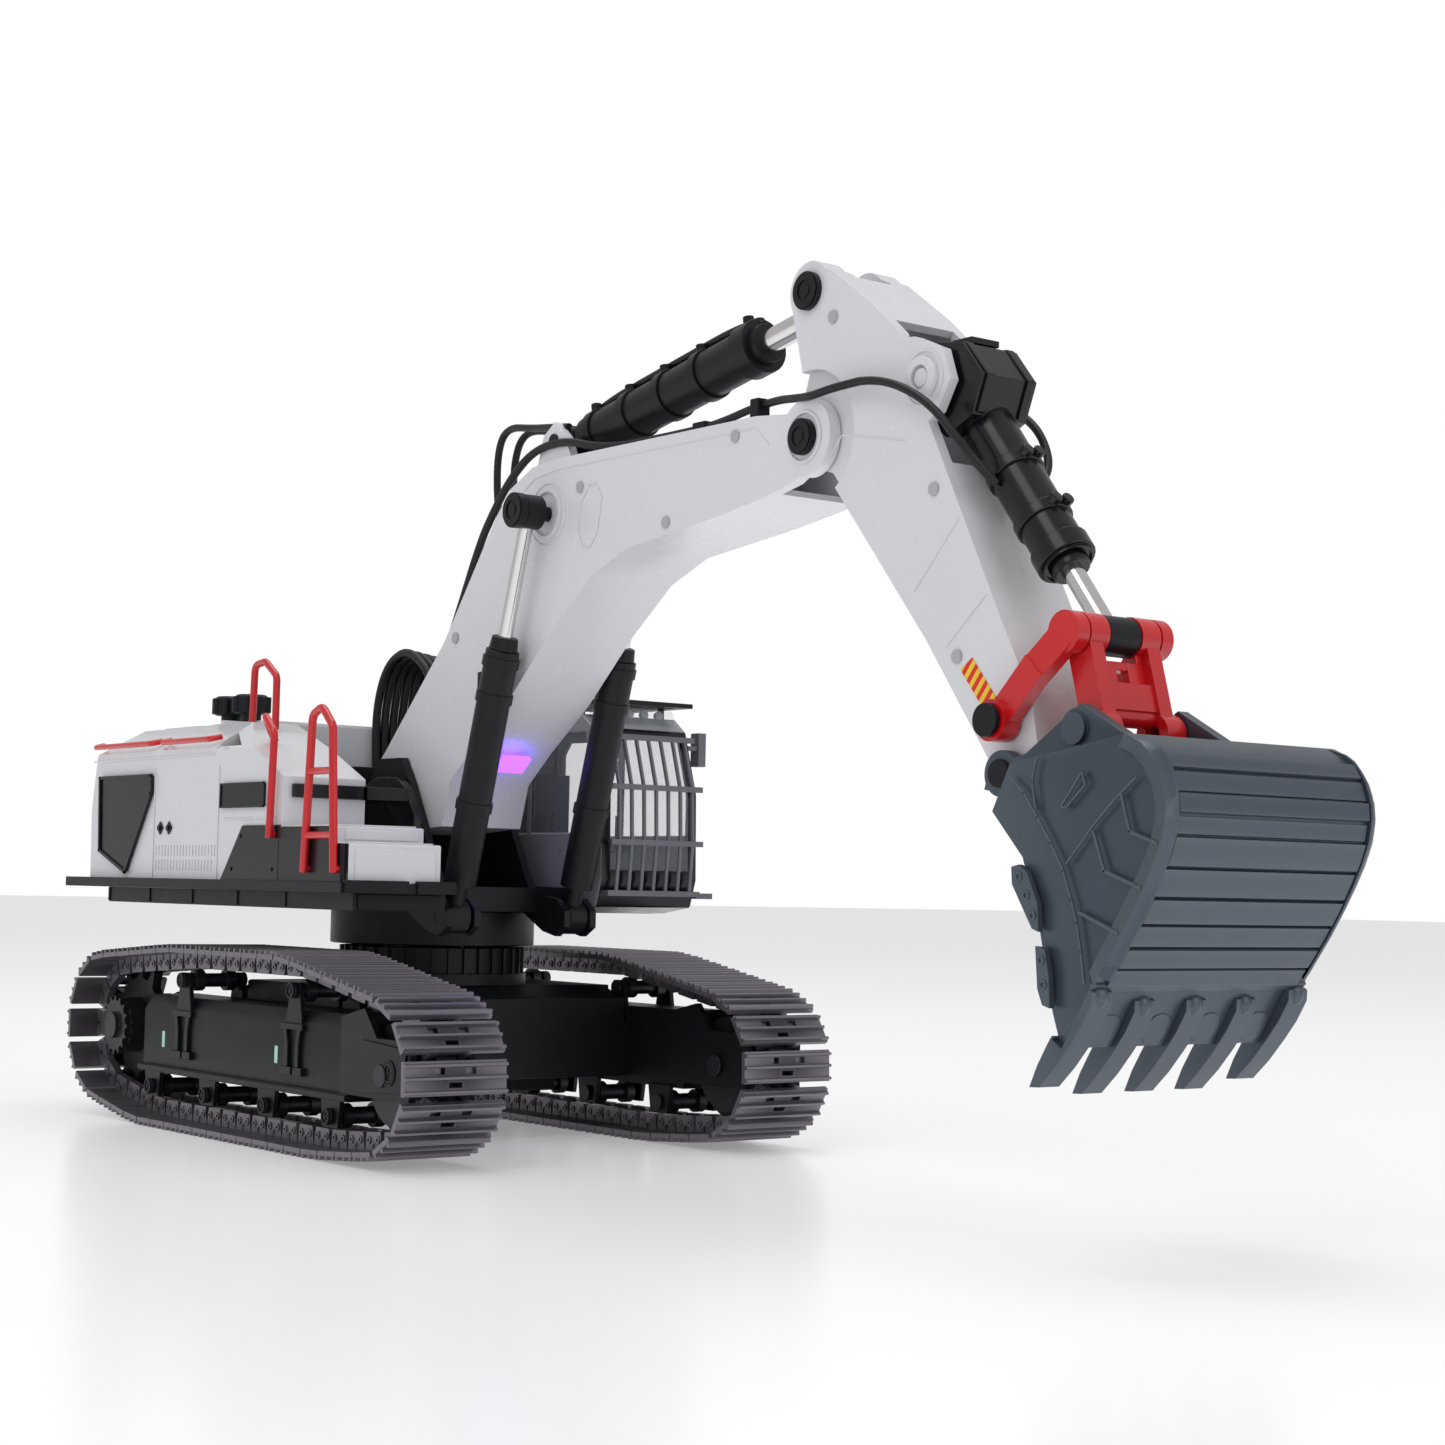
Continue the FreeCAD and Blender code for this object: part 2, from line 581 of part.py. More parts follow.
def boom_shells():
    """The boom's two half shells, forked at the tip."""
    bosses = [(*FOOT, 20.0), (*ARM_PIVOT, 14.0)]
    half = hollow(grow(BOOM_OUTLINE, bosses), BOOM_OUTLINE, BOOM_HALF, SKIN)
    half = fuse(half, *[cyl_y(*at, r, -BOOM_HALF, 0) for at, r in ((FOOT, 9.0), (LIFT_TOP, 8.0))])
    lug = prism([(94, 276), (122, 280), (116, 292), (108, 299), (100, 294)], -13.5, -9.5)
    half = fuse(half, lug)
    half = half.cut(cyl_y(*ARM_PIVOT, 25.5, -FORK_HALF, 1))
    half = half.cut(prism([(278, 240), (300, 240), (300, 300), (262, 300)], -FORK_HALF, 1))
    for at, r in ((FOOT, 5.0), (LIFT_TOP, PIN_R), (ARM_PIVOT, 4.0), (STICK_BASE, PIN_R)):
        half = half.cut(cyl_y(*at, r + RUN, -40, 1))
    return half


def boom_pins():
    """The boom's cross pins with their caps, and the screws that join the shells."""
    foot = fuse(cyl_y(*FOOT, 5.0, -25.5, 25.5))
    lift = fuse(cyl_y(*LIFT_TOP, PIN_R, -34, 34), cyl_y(*LIFT_TOP, 6.5, 34, 37), cyl_y(*LIFT_TOP, 6.5, -37, -34))
    tip = fuse(cyl_y(*ARM_PIVOT, 4.0, -21, 21), cyl_y(*ARM_PIVOT, 6.5, 20.05, 22.5),
               cyl_y(*ARM_PIVOT, 6.5, -22.5, -20.05))
    screws = [cyl_y(x, z, 2.4, y, y + 0.8) for x, z in ((137.6, 267.8), (238.4, 275.1), (196.2, 247.5), (45.7, 213.4))
              for y in (-BOOM_HALF - 0.8, BOOM_HALF)]
    return group([foot, lift, tip] + screws)


def boom_hoses():
    """Two hoses from the boom's back, along its top, over the tip to the arm's flank."""
    hoses = []
    for y, z in ((-23.0, 288.5), (23.0, 288.5)):
        hoses.append(rod([(215, y * 0.6, 283.2), (235, y * 0.75, 287), (256, y, z), (276, y, 291), (296, y * 0.92, 290),
                          (310.4, y * 0.92, 284.6)], 1.4, 12))
    return group(hoses)


# ---------------------------------------------------------------- arm

ARM_OUTLINE = [(266.5, 322), (277, 333.5), (290, 328), (312, 312), (326, 300), (333, 283), (378, 197), (392, 172),
               (396, 152), (386, 138), (376, 148), (342, 193), (288, 256), (270, 262), (268, 276), (274, 294)]


def arm_shells():
    """The arm's two half shells: forked at the top for the rod eye, necked at the boom pivot."""
    bosses = [(*STICK_TOP, 11.0), (*BUCKET_PIVOT, 10.0)]
    half = hollow(grow(ARM_OUTLINE, bosses), ARM_OUTLINE, ARM_HALF, SKIN)
    half = fuse(half, *[cyl_y(*at, r, -ARM_HALF + 1, 0) for at, r in ((ROCKER_FOOT, 6.0), (BUCKET_PIVOT, 8.0))])
    half = fuse(half, cyl_y(*ARM_PIVOT, 9.0, -FORK_HALF + 0.6, 0))
    neck = cyl_y(*ARM_PIVOT, 24.5, -ARM_HALF - 1, -FORK_HALF + 0.6)
    half = half.cut(neck)
    cheek = prism([(322, 298), (334, 297), (348, 291), (352, 280), (346, 270), (334, 262), (331, 284)],
                  -ARM_HALF, -ARM_HALF + 4)
    half = fuse(half, cheek)
    lining = cyl_y(*ARM_PIVOT, 25.5, -FORK_HALF + 0.6, -FORK_HALF + 3.0).common(
        prism(ARM_OUTLINE, -ARM_HALF, 0))
    half = fuse(half, lining)
    half = half.cut(cyl_y(*STICK_TOP, 15.0, -8.5, 1)).cut(prism([(240, 306), (277, 306), (277, 340), (240, 340)], -8.5, 1))
    half = half.cut(cyl_y(*CURL_BASE, 31.0, -13.5, 1))
    for at, r in ((ARM_PIVOT, 4.0), (STICK_TOP, PIN_R), (CURL_BASE, PIN_R), (ROCKER_FOOT, PIN_R), (BUCKET_PIVOT, 3.5)):
        half = half.cut(cyl_y(*at, r + RUN, -40, 1))
    return half


def arm_pins():
    """The arm's pins and stubs with their caps, and its shell screws."""
    stubs = []
    for s in (1, -1):
        low, high = sorted((s * 9.0, s * ARM_HALF))
        cap = sorted((s * ARM_HALF, s * (ARM_HALF + 2)))
        stubs.append(fuse(cyl_y(*STICK_TOP, PIN_R, low, high), cyl_y(*STICK_TOP, 7.0, *cap)))
    rocker = fuse(cyl_y(*ROCKER_FOOT, PIN_R, -27, 27), cyl_y(*ROCKER_FOOT, 5.5, 27, 29),
                  cyl_y(*ROCKER_FOOT, 5.5, -29, -27))
    bucket = fuse(cyl_y(*BUCKET_PIVOT, 3.5, -24.4, 24.4), cyl_y(*BUCKET_PIVOT, 4.6, 24.4, 25.6),
                  cyl_y(*BUCKET_PIVOT, 4.6, -25.6, -24.4))
    screws = [cyl_y(x, z, 2.4, y, y + 0.8) for x, z in ((291, 311), (345, 243.5), (357.5, 186.5))
              for y in (-ARM_HALF - 0.8, ARM_HALF)]
    return group(stubs + [rocker, bucket] + screws)


def arm_hoses():
    """Hoses from the arm's flanks to the curl cylinder's collar."""
    hoses = []
    for s in (1, -1):
        hoses.append(rod([(312, s * 21.2, 284), (328, s * 23.2, 279), (343, s * 23.2, 268), (356, s * 20, 256),
                          (364, s * 14, 247)], 1.4, 12))
    return group(hoses)


def cable_loom():
    """Six cables that loop up from behind the boom foot to the boom's back."""
    cables = []
    for i in range(6):
        y = -10.0 + 4.0 * i
        cables.append(rod([(-30, y, 136), (-36.5, y, 160), (-37.5, y, 184), (-30, y, 204), (-14, y, 211), (4, y, 204),
                           (12, y, 194)], 1.9, 12))
    return group(cables)


# ---------------------------------------------------------------- cylinders

def toward(a, b, distance):
    """The point at a distance from a on the line to b, as (x, z)."""
    length = math.dist(a, b)
    return a[0] + (b[0] - a[0]) * distance / length, a[1] + (b[1] - a[1]) * distance / length


def barrel(base, top, y, start, end, outer, bore, eye_half, eye_r, bands):
    """A cylinder barrel: eye, tube open at its gland end, and raised bands."""
    def at(distance):
        x, z = toward(base, top, distance)
        return (x, y, z)
    eye = cyl_y(*base, eye_r, y - eye_half, y + eye_half)
    neck = cyl_between(at(eye_r * 0.6), at(start + 3), min(outer * 0.8, eye_half * 0.9))
    tube = cyl_between(at(start), at(end), outer)
    rings = [cyl_between(at(d), at(d + 4), outer + 0.7) for d in bands]
    return fuse(eye, neck, tube, *rings).cut(cyl_between(at(start + 6), at(end + 5), bore))


def piston_rod(pin, base, y, length, r, eye_half, eye_r, bore_r):
    """A rod with its eye at the pin end."""
    def at(distance):
        x, z = toward(pin, base, distance)
        return (x, y, z)
    eye = cyl_y(*pin, eye_r, y - eye_half, y + eye_half)
    solid = fuse(eye, cyl_between(at(eye_r * 0.6), at(length), r))
    return solid.cut(cyl_y(*pin, bore_r, y - eye_half - 1, y + eye_half + 1))


def boom_cylinders():
    """The pair of lift-cylinder barrels, each with its trunnion pin."""
    barrels = []
    for y in (LIFT_Y, -LIFT_Y):
        body = barrel(LIFT_BASE, LIFT_TOP, y, 14, 112, 7.0, 6.5, 4.2, 7.0, (46, 92, 107))
        barrels.append(fuse(body, cyl_y(*LIFT_BASE, 2.5, y - 7.8, y + 7.8)))
    return group(barrels)


def boom_rods():
    return group([piston_rod(LIFT_TOP, LIFT_BASE, y, 92, 2.9, 4.2, 7.0, PIN_R + RUN) for y in (LIFT_Y, -LIFT_Y)])


def arm_cylinder():
    body = barrel(STICK_BASE, STICK_TOP, 0, 9, 122, 9.3, 4.9, 9.0, 7.5, (14, 38, 62, 86, 116))
    return body.cut(cyl_y(*STICK_BASE, PIN_R + RUN, -20, 20))


def arm_rod():
    return piston_rod(STICK_TOP, STICK_BASE, 0, 128, 4.6, 7.0, 7.0, 4.5)


def stick_base_pin():
    return cyl_y(*STICK_BASE, PIN_R, -14.5, 14.5)


def bucket_cylinder():
    """The curl cylinder: drive box round its trunnions, and the tube."""
    head = prism([(331, 296), (352, 293), (362, 281), (357, 268), (344, 262), (332, 272)], -12.5, 12.5)
    head = fuse(head, cyl_y(*CURL_BASE, PIN_R, -ARM_HALF, ARM_HALF))
    body = barrel(CURL_BASE, JUNCTION, 0, 14, 84, 9.0, 8.2, 6.0, 8.0, (40, 62, 79))
    (x0, z0), (x1, z1) = toward(CURL_BASE, JUNCTION, 26), toward(CURL_BASE, JUNCTION, 90)
    return fuse(body, head).cut(cyl_between((x0, 0, z0), (x1, 0, z1), 8.2))


def bucket_rod():
    return piston_rod(JUNCTION, CURL_BASE, 0, 78, 3.6, 6.8, 6.5, PIN_R + RUN)


# ---------------------------------------------------------------- bucket linkage

def bar_outline(a, b, ra, rb):
    """Corners of a tapered bar between two bosses."""
    dx, dz = b[0] - a[0], b[1] - a[1]
    n = math.hypot(dx, dz)
    px, pz = -dz / n, dx / n
    return [(a[0] + px * ra, a[1] + pz * ra), (a[0] - px * ra, a[1] - pz * ra),
            (b[0] - px * rb, b[1] - pz * rb), (b[0] + px * rb, b[1] + pz * rb)]


def rocker_links():
    """Two red rocker links, cranked inwards at the top, joined by the junction pin."""
    plates = []
    near, far = toward(ROCKER_FOOT, JUNCTION, 24), toward(ROCKER_FOOT, JUNCTION, 20)
    for s in (1, -1):
        foot = sorted((s * 19.2, s * 24.2))
        head = sorted((s * 16.5, s * 21.5))
        ends = []
        for (x, z), (y0, y1) in ((far, foot), (JUNCTION, head)):
            nx, nz = (z - ROCKER_FOOT[1]) / math.dist((x, z), ROCKER_FOOT), (ROCKER_FOOT[0] - x) / math.dist((x, z), ROCKER_FOOT)
            corners = [V(x + 5 * nx, y0, z + 5 * nz), V(x - 5 * nx, y0, z - 5 * nz), V(x - 5 * nx, y1, z - 5 * nz),
                       V(x + 5 * nx, y1, z + 5 * nz)]
            ends.append(Part.makePolygon(corners + corners[:1]))
        crank = Part.makeLoft(ends, True, True)
        bar = prism(bar_outline(ROCKER_FOOT, near, 5.0, 5.0), *foot)
        link = fuse(bar, crank, cyl_y(*ROCKER_FOOT, 6.8, *sorted((s * 19.2, s * 26.5))), cyl_y(*JUNCTION, 6.8, *head))
        plates.append(link.cut(cyl_y(*ROCKER_FOOT, PIN_R + RUN, -30, 30)))
    return fuse(cyl_y(*JUNCTION, PIN_R, -21.5, 21.5), *plates)


def bucket_link():
    """The red H-link from the junction pin to the bucket's ears."""
    pieces = []
    for s in (1, -1):
        leg = sorted((s * 10.0, s * 15.8))
        foot = sorted((s * 10.0, s * 18.6))
        pieces.append(prism(bar_outline(JUNCTION, BUCKET_EAR, 5.0, 5.0), *leg))
        pieces.append(cyl_y(*JUNCTION, 6.8, *sorted((s * 7.4, s * 15.8))))
        pieces.append(cyl_y(*BUCKET_EAR, 6.8, *foot))
    upper, lower = toward(JUNCTION, BUCKET_EAR, 17), toward(JUNCTION, BUCKET_EAR, 26)
    pieces.append(prism(bar_outline(upper, lower, 4.0, 4.0), -12, 12))
    link = fuse(pieces[0], *pieces[1:])
    link = link.cut(cyl_y(*JUNCTION, PIN_R + RUN, -30, 30))
    return link.cut(cyl_y(*BUCKET_EAR, PIN_R + RUN, -30, 30))


BUCKET_BACK = [(460, 156), (466, 153.2), (470.6, 149), (473.8, 144), (475.6, 138.6), (476, 133), (475, 127),
               (472.6, 120.6), (469, 113.6), (464.6, 106), (459.6, 98.2), (453.9, 90.2), (448.4, 82.6)]
BUCKET_SIDE = [(411, 148.5)] + BUCKET_BACK + [(436.8, 64.6), (433, 67), (430.5, 74), (425, 97), (417, 120),
                                              (403.5, 134)]
BUCKET_MIDDLE = (434.0, 118.0)
BUCKET_LIP = [(433, 66.2), (436.8, 63.8), (447.8, 82.2), (443.4, 84.2)]


def back_drawn_in(by):
    """The bucket's back moved towards its middle."""
    return [toward(point, BUCKET_MIDDLE, by) for point in BUCKET_BACK]


def bucket():
    """The bucket: wrapped plate, two side plates with rim bands, ears and their pin stubs."""
    bowl = [(400, 143.8), (459.4, 152.9)] + back_drawn_in(3)[1:] + [(442.8, 85), (431.4, 66.8), (404, 60), (385, 100)]
    shell = prism(BUCKET_SIDE, -BUCKET_HALF, BUCKET_HALF).cut(prism(bowl, -BUCKET_HALF + 3, BUCKET_HALF - 3))
    rim = BUCKET_BACK + back_drawn_in(4.5)[::-1]
    bands = [prism(rim, y, y + 1.6) for y in (BUCKET_HALF, -BUCKET_HALF - 1.6)]
    lip = prism(BUCKET_LIP, -BUCKET_HALF, BUCKET_HALF)
    ear = [(377.5, 142), (404, 138), (448, 150), (440, 157), (420, 168), (412, 163), (396, 153), (380, 150)]
    ears = []
    for s in (1, -1):
        span = sorted((s * 19.5, s * 24.2))
        solid = fuse(prism(ear, *span), cyl_y(*BUCKET_PIVOT, 7.5, *span), cyl_y(*BUCKET_EAR, 6.6, *span))
        solid = solid.cut(cyl_y(*BUCKET_PIVOT, 3.5 + RUN, *span))
        ears.append(fuse(solid, cyl_y(*BUCKET_EAR, 5.0, *sorted((s * 24.2, s * 25.8)))))
    return fuse(shell, *bands, lip, *ears)


def bucket_teeth():
    """Five teeth on the bucket's lip."""
    teeth = []
    outline = [(444, 79.4), (434, 70), (428.4, 62.4), (424, 55.4), (420.8, 48.8), (424.8, 49), (431.4, 55.2),
               (437.4, 62), (442.2, 68), (446.2, 74.6), (446.4, 78)]
    for y, set_back in ((-43.6, 2.8), (-22.6, 0.0), (0.0, 0.0), (22.6, 0.0), (43.6, 2.8)):
        tooth = prism([(x + set_back, z + set_back) for x, z in outline], y - 4.4, y + 4.4)
        teeth.append(tooth.cut(fuse(prism(BUCKET_LIP, -60, 60), prism(BUCKET_SIDE, -60, 60))))
    return group(teeth)


def main():
    os.makedirs("parts", exist_ok=True)
    for name, side in (("left", 1), ("right", -1)):
        write("track_frame_" + name, track_frame(side))
        write("track_chain_" + name, track_chain(side))
        write("sprocket_" + name, sprocket(side))
        write("idler_" + name, idler(side))
        for place, x in zip(("rear", "front"), CARRIER_X):
            write("carrier_roller_" + name + "_" + place, roller(x, CARRIER_Z, CARRIER_R, side))
        for number, x in enumerate(ROLLER_X, 1):
            write("track_roller_" + name + "_" + str(number), roller(x, ROLLER_Z, ROLLER_R, side))
    boom_right = boom_shells()
    arm_right = arm_shells()
    single = {
        "carbody_frame": carbody_frame(), "travel_motors": travel_motors(), "slew_ring": slew_ring(),
        "slew_pinion": slew_pinion(), "turntable_drum": turntable_drum(), "deck_frame": deck_frame(),
        "slew_motor": slew_motor(), "engine_housing": engine_housing(), "housing_grilles": housing_grilles(),
        "step_boxes": step_boxes(), "equipment_boxes": equipment_boxes(), "handrails": handrails(),
        "intake_caps": intake_caps(), "battery_pack": battery_pack(), "counterweight": counterweight(),
        "control_board": control_board(), "cab_shell": cab_shell(), "cab_windows": cab_windows(),
        "cab_guard": cab_guard(), "cab_visor": cab_visor(), "cab_interior": cab_interior(),
        "cable_loom": cable_loom(), "boom_shell_right": boom_right, "boom_shell_left": mirror(boom_right),
        "boom_pins": group([boom_pins(), stick_base_pin()]), "boom_hoses": boom_hoses(),
        "arm_shell_right": arm_right, "arm_shell_left": mirror(arm_right), "arm_pins": arm_pins(),
        "arm_hoses": arm_hoses(), "boom_cylinders": boom_cylinders(), "boom_rods": boom_rods(),
        "arm_cylinder": arm_cylinder(), "arm_rod": arm_rod(), "bucket_cylinder": bucket_cylinder(),
        "bucket_rod": bucket_rod(), "rocker_links": rocker_links(), "bucket_link": bucket_link(),
        "bucket": bucket(), "bucket_teeth": bucket_teeth(),
    }
    for node, shape in single.items():
        write(node, shape)


main()
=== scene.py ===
"""Radio-control tracked excavator: the visible pieces, their finishes, the studio and the camera.

Shapes are drawn in millimetres and stored in metres. +X is forward, +Y the cab side, +Z up.
"""
import bmesh
import bpy
import json
import math
from mathutils import Matrix, Vector

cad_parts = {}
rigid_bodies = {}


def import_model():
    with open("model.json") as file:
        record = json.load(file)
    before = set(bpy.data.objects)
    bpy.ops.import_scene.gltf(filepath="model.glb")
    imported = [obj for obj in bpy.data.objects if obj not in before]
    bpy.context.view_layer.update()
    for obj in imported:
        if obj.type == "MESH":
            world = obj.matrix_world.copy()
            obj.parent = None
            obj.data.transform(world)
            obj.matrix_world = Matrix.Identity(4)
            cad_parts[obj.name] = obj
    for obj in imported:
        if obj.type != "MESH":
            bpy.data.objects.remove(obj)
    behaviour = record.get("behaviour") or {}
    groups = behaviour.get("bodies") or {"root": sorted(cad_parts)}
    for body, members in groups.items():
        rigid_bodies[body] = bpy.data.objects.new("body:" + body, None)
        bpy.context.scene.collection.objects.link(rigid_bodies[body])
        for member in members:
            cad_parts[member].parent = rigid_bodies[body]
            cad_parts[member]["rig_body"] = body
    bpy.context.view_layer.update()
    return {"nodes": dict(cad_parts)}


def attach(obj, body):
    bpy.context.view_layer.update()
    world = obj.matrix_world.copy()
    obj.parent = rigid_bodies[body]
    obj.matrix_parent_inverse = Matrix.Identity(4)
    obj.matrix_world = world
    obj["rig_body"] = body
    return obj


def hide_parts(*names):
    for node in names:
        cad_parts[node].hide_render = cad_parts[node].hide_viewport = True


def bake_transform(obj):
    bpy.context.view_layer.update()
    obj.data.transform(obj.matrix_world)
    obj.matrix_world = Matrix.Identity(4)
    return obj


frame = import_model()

MM = 0.001

# Places shared with the part, as (x, z)
FOOT = (0.0, 150.0)
LIFT_BASE = (65.0, 95.0)
LIFT_TOP = (114.4, 259.3)
LIFT_Y = 29.3
ARM_PIVOT = (278.5, 269.5)
STICK_BASE = (108.0, 291.0)
STICK_TOP = (277.3, 322.6)
CURL_BASE = (339.0, 282.0)
ROCKER_FOOT = (382.0, 164.0)
JUNCTION = (409.5, 191.0)
BUCKET_EAR = (418.0, 160.0)
BOOM_HALF = 20.0
ARM_HALF = 18.0
HOUSE_SIDE = -88.0
BUCKET_HALF = 47.0

# Track; wheels as (x, z, radius of the chain's pins round them)
GAUGE_HALF = 80.0
SHOE_W = 45.0
LINK_COUNT = 48
LINK_HALF = 3.5
PLATE_T = 2.0
SHOE_OUTER = 7.0
SPROCKET = (-122.5, 41.0, 27.05)
IDLER = (123.0, 35.0, 25.0)
CARRIERS = (-51.8, 49.2)
CARRIER_Z = 64.2
ROLLERS = (-81.2, -27.0, 27.2, 81.4)
ROLLER_Z = 16.3

# A finish and a slot name
BLACK = ("black satin", "black_plastic")
GLOSS = ("black gloss", "black_plastic")
WHITE = ("white gloss", "white_plastic")
PAINT = ("bucket paint", "bucket_metal")
STEEL = ("gear steel", "gear_steel")
WHEEL = ("wheel alloy", "roller_metal")
RED = ("red gloss", "red_paint")
CHROME = ("rod chrome", "rod_chrome")

materials = {}


# ---- finishes

def shader(name):
    """A new material's node tree, its Principled shader and its Object coordinates."""
    material = bpy.data.materials.new(name)
    material.use_nodes = True
    nodes = material.node_tree.nodes
    coords = nodes.new("ShaderNodeTexCoord")
    materials[name] = material
    return material.node_tree, nodes["Principled BSDF"], coords.outputs["Object"]


def noise(tree, vector, scale, detail=3.0, roughness=0.55):
    """A noise value, mostly between 0.3 and 0.7."""
    node = tree.nodes.new("ShaderNodeTexNoise")
    node.inputs["Scale"].default_value = scale
    node.inputs["Detail"].default_value = detail
    node.inputs["Roughness"].default_value = roughness
    tree.links.new(vector, node.inputs["Vector"])
    return node.outputs["Fac"]


def mapped(tree, value, low, high):
    """A value of 0.3 to 0.7 spread over low to high."""
    node = tree.nodes.new("ShaderNodeMapRange")
    node.inputs["From Min"].default_value = 0.3
    node.inputs["From Max"].default_value = 0.7
    node.inputs["To Min"].default_value = low
    node.inputs["To Max"].default_value = high
    tree.links.new(value, node.inputs["Value"])
    return node.outputs["Result"]


def between(tree, amount, first, second):
    """A colour between two others, each a tuple or a socket."""
    node = tree.nodes.new("ShaderNodeMix")
    node.data_type = "RGBA"
    tree.links.new(amount, node.inputs[0])
    for socket, colour in ((node.inputs[6], first), (node.inputs[7], second)):
        if isinstance(colour, tuple):
            socket.default_value = (*colour, 1.0)
        else:
            tree.links.new(colour, socket)
    return node.outputs[2]


def bump(tree, principled, height, strength, distance):
    """Lets a height shape the surface's normal."""
    node = tree.nodes.new("ShaderNodeBump")
    node.inputs["Strength"].default_value = strength
    node.inputs["Distance"].default_value = distance
    tree.links.new(height, node.inputs["Height"])
    tree.links.new(node.outputs["Normal"], principled.inputs["Normal"])


def moulded(name, colour, roughness, tint=0.05, grain=1400.0, depth=0.25, coat=0.0, metallic=0.0,
            worn=None, specular=0.5):
    """Moulded or coated stock: slow tint, uneven gloss, fine grain, and paler worn ridges if wanted."""
    tree, principled, place = shader(name)
    slow = noise(tree, place, 22.0)
    dark = tuple(c * (1 - tint) for c in colour)
    pale = tuple(min(1.0, c * (1 + tint)) for c in colour)
    shade = between(tree, mapped(tree, slow, 0.0, 1.0), dark, pale)
    if worn:
        geometry = tree.nodes.new("ShaderNodeNewGeometry")
        ridge = tree.nodes.new("ShaderNodeMapRange")
        ridge.inputs["From Min"].default_value = 0.51
        ridge.inputs["From Max"].default_value = 0.60
        tree.links.new(geometry.outputs["Pointiness"], ridge.inputs["Value"])
        shade = between(tree, ridge.outputs["Result"], shade, worn)
    tree.links.new(shade, principled.inputs["Base Color"])
    gloss = noise(tree, place, 160.0, 4.0)
    tree.links.new(mapped(tree, gloss, roughness - 0.03, roughness + 0.03), principled.inputs["Roughness"])
    principled.inputs["Metallic"].default_value = metallic
    principled.inputs["Specular IOR Level"].default_value = specular
    principled.inputs["Coat Weight"].default_value = coat
    principled.inputs["Coat Roughness"].default_value = 0.12
    bump(tree, principled, noise(tree, place, grain, 2.0), depth, 0.00006)


def polished(name, colour, roughness):
    """Ground and plated rod, with fine turning marks."""
    tree, principled, place = shader(name)
    stretch = tree.nodes.new("ShaderNodeMapping")
    stretch.inputs["Scale"].default_value = (1.0, 6.0, 1.0)
    tree.links.new(place, stretch.inputs["Vector"])
    marks = noise(tree, stretch.outputs["Vector"], 700.0, 2.0)
    dull = tuple(c * 0.94 for c in colour)
    tree.links.new(between(tree, marks, dull, colour), principled.inputs["Base Color"])
    tree.links.new(mapped(tree, marks, roughness - 0.03, roughness + 0.05), principled.inputs["Roughness"])
    principled.inputs["Metallic"].default_value = 1.0
    bump(tree, principled, marks, 0.1, 0.00002)


def striped_tape(name, first, second, pitch):
    """Slanting stripes of two colours on X and Z, with hard edges."""
    tree, principled, place = shader(name)
    split = tree.nodes.new("ShaderNodeSeparateXYZ")
    tree.links.new(place, split.inputs["Vector"])
    total = tree.nodes.new("ShaderNodeMath")
    total.operation = "MULTIPLY_ADD"
    tree.links.new(split.outputs["Z"], total.inputs[0])
    total.inputs[1].default_value = -0.8
    tree.links.new(split.outputs["X"], total.inputs[2])
    wave = tree.nodes.new("ShaderNodeMath")
    wave.operation = "PINGPONG"
    wave.inputs[1].default_value = pitch
    tree.links.new(total.outputs[0], wave.inputs[0])
    hard = tree.nodes.new("ShaderNodeMath")
    hard.operation = "GREATER_THAN"
    hard.inputs[1].default_value = pitch / 2
    tree.links.new(wave.outputs[0], hard.inputs[0])
    tree.links.new(between(tree, hard.outputs[0], first, second), principled.inputs["Base Color"])
    principled.inputs["Roughness"].default_value = 0.35
    bump(tree, principled, noise(tree, place, 1200.0), 0.1, 0.00003)


def tinted(name, scale, first, second):
    """A material whose base colour wanders between two, and its shader."""
    tree, principled, place = shader(name)
    tree.links.new(between(tree, noise(tree, place, scale), first, second), principled.inputs["Base Color"])
    return principled


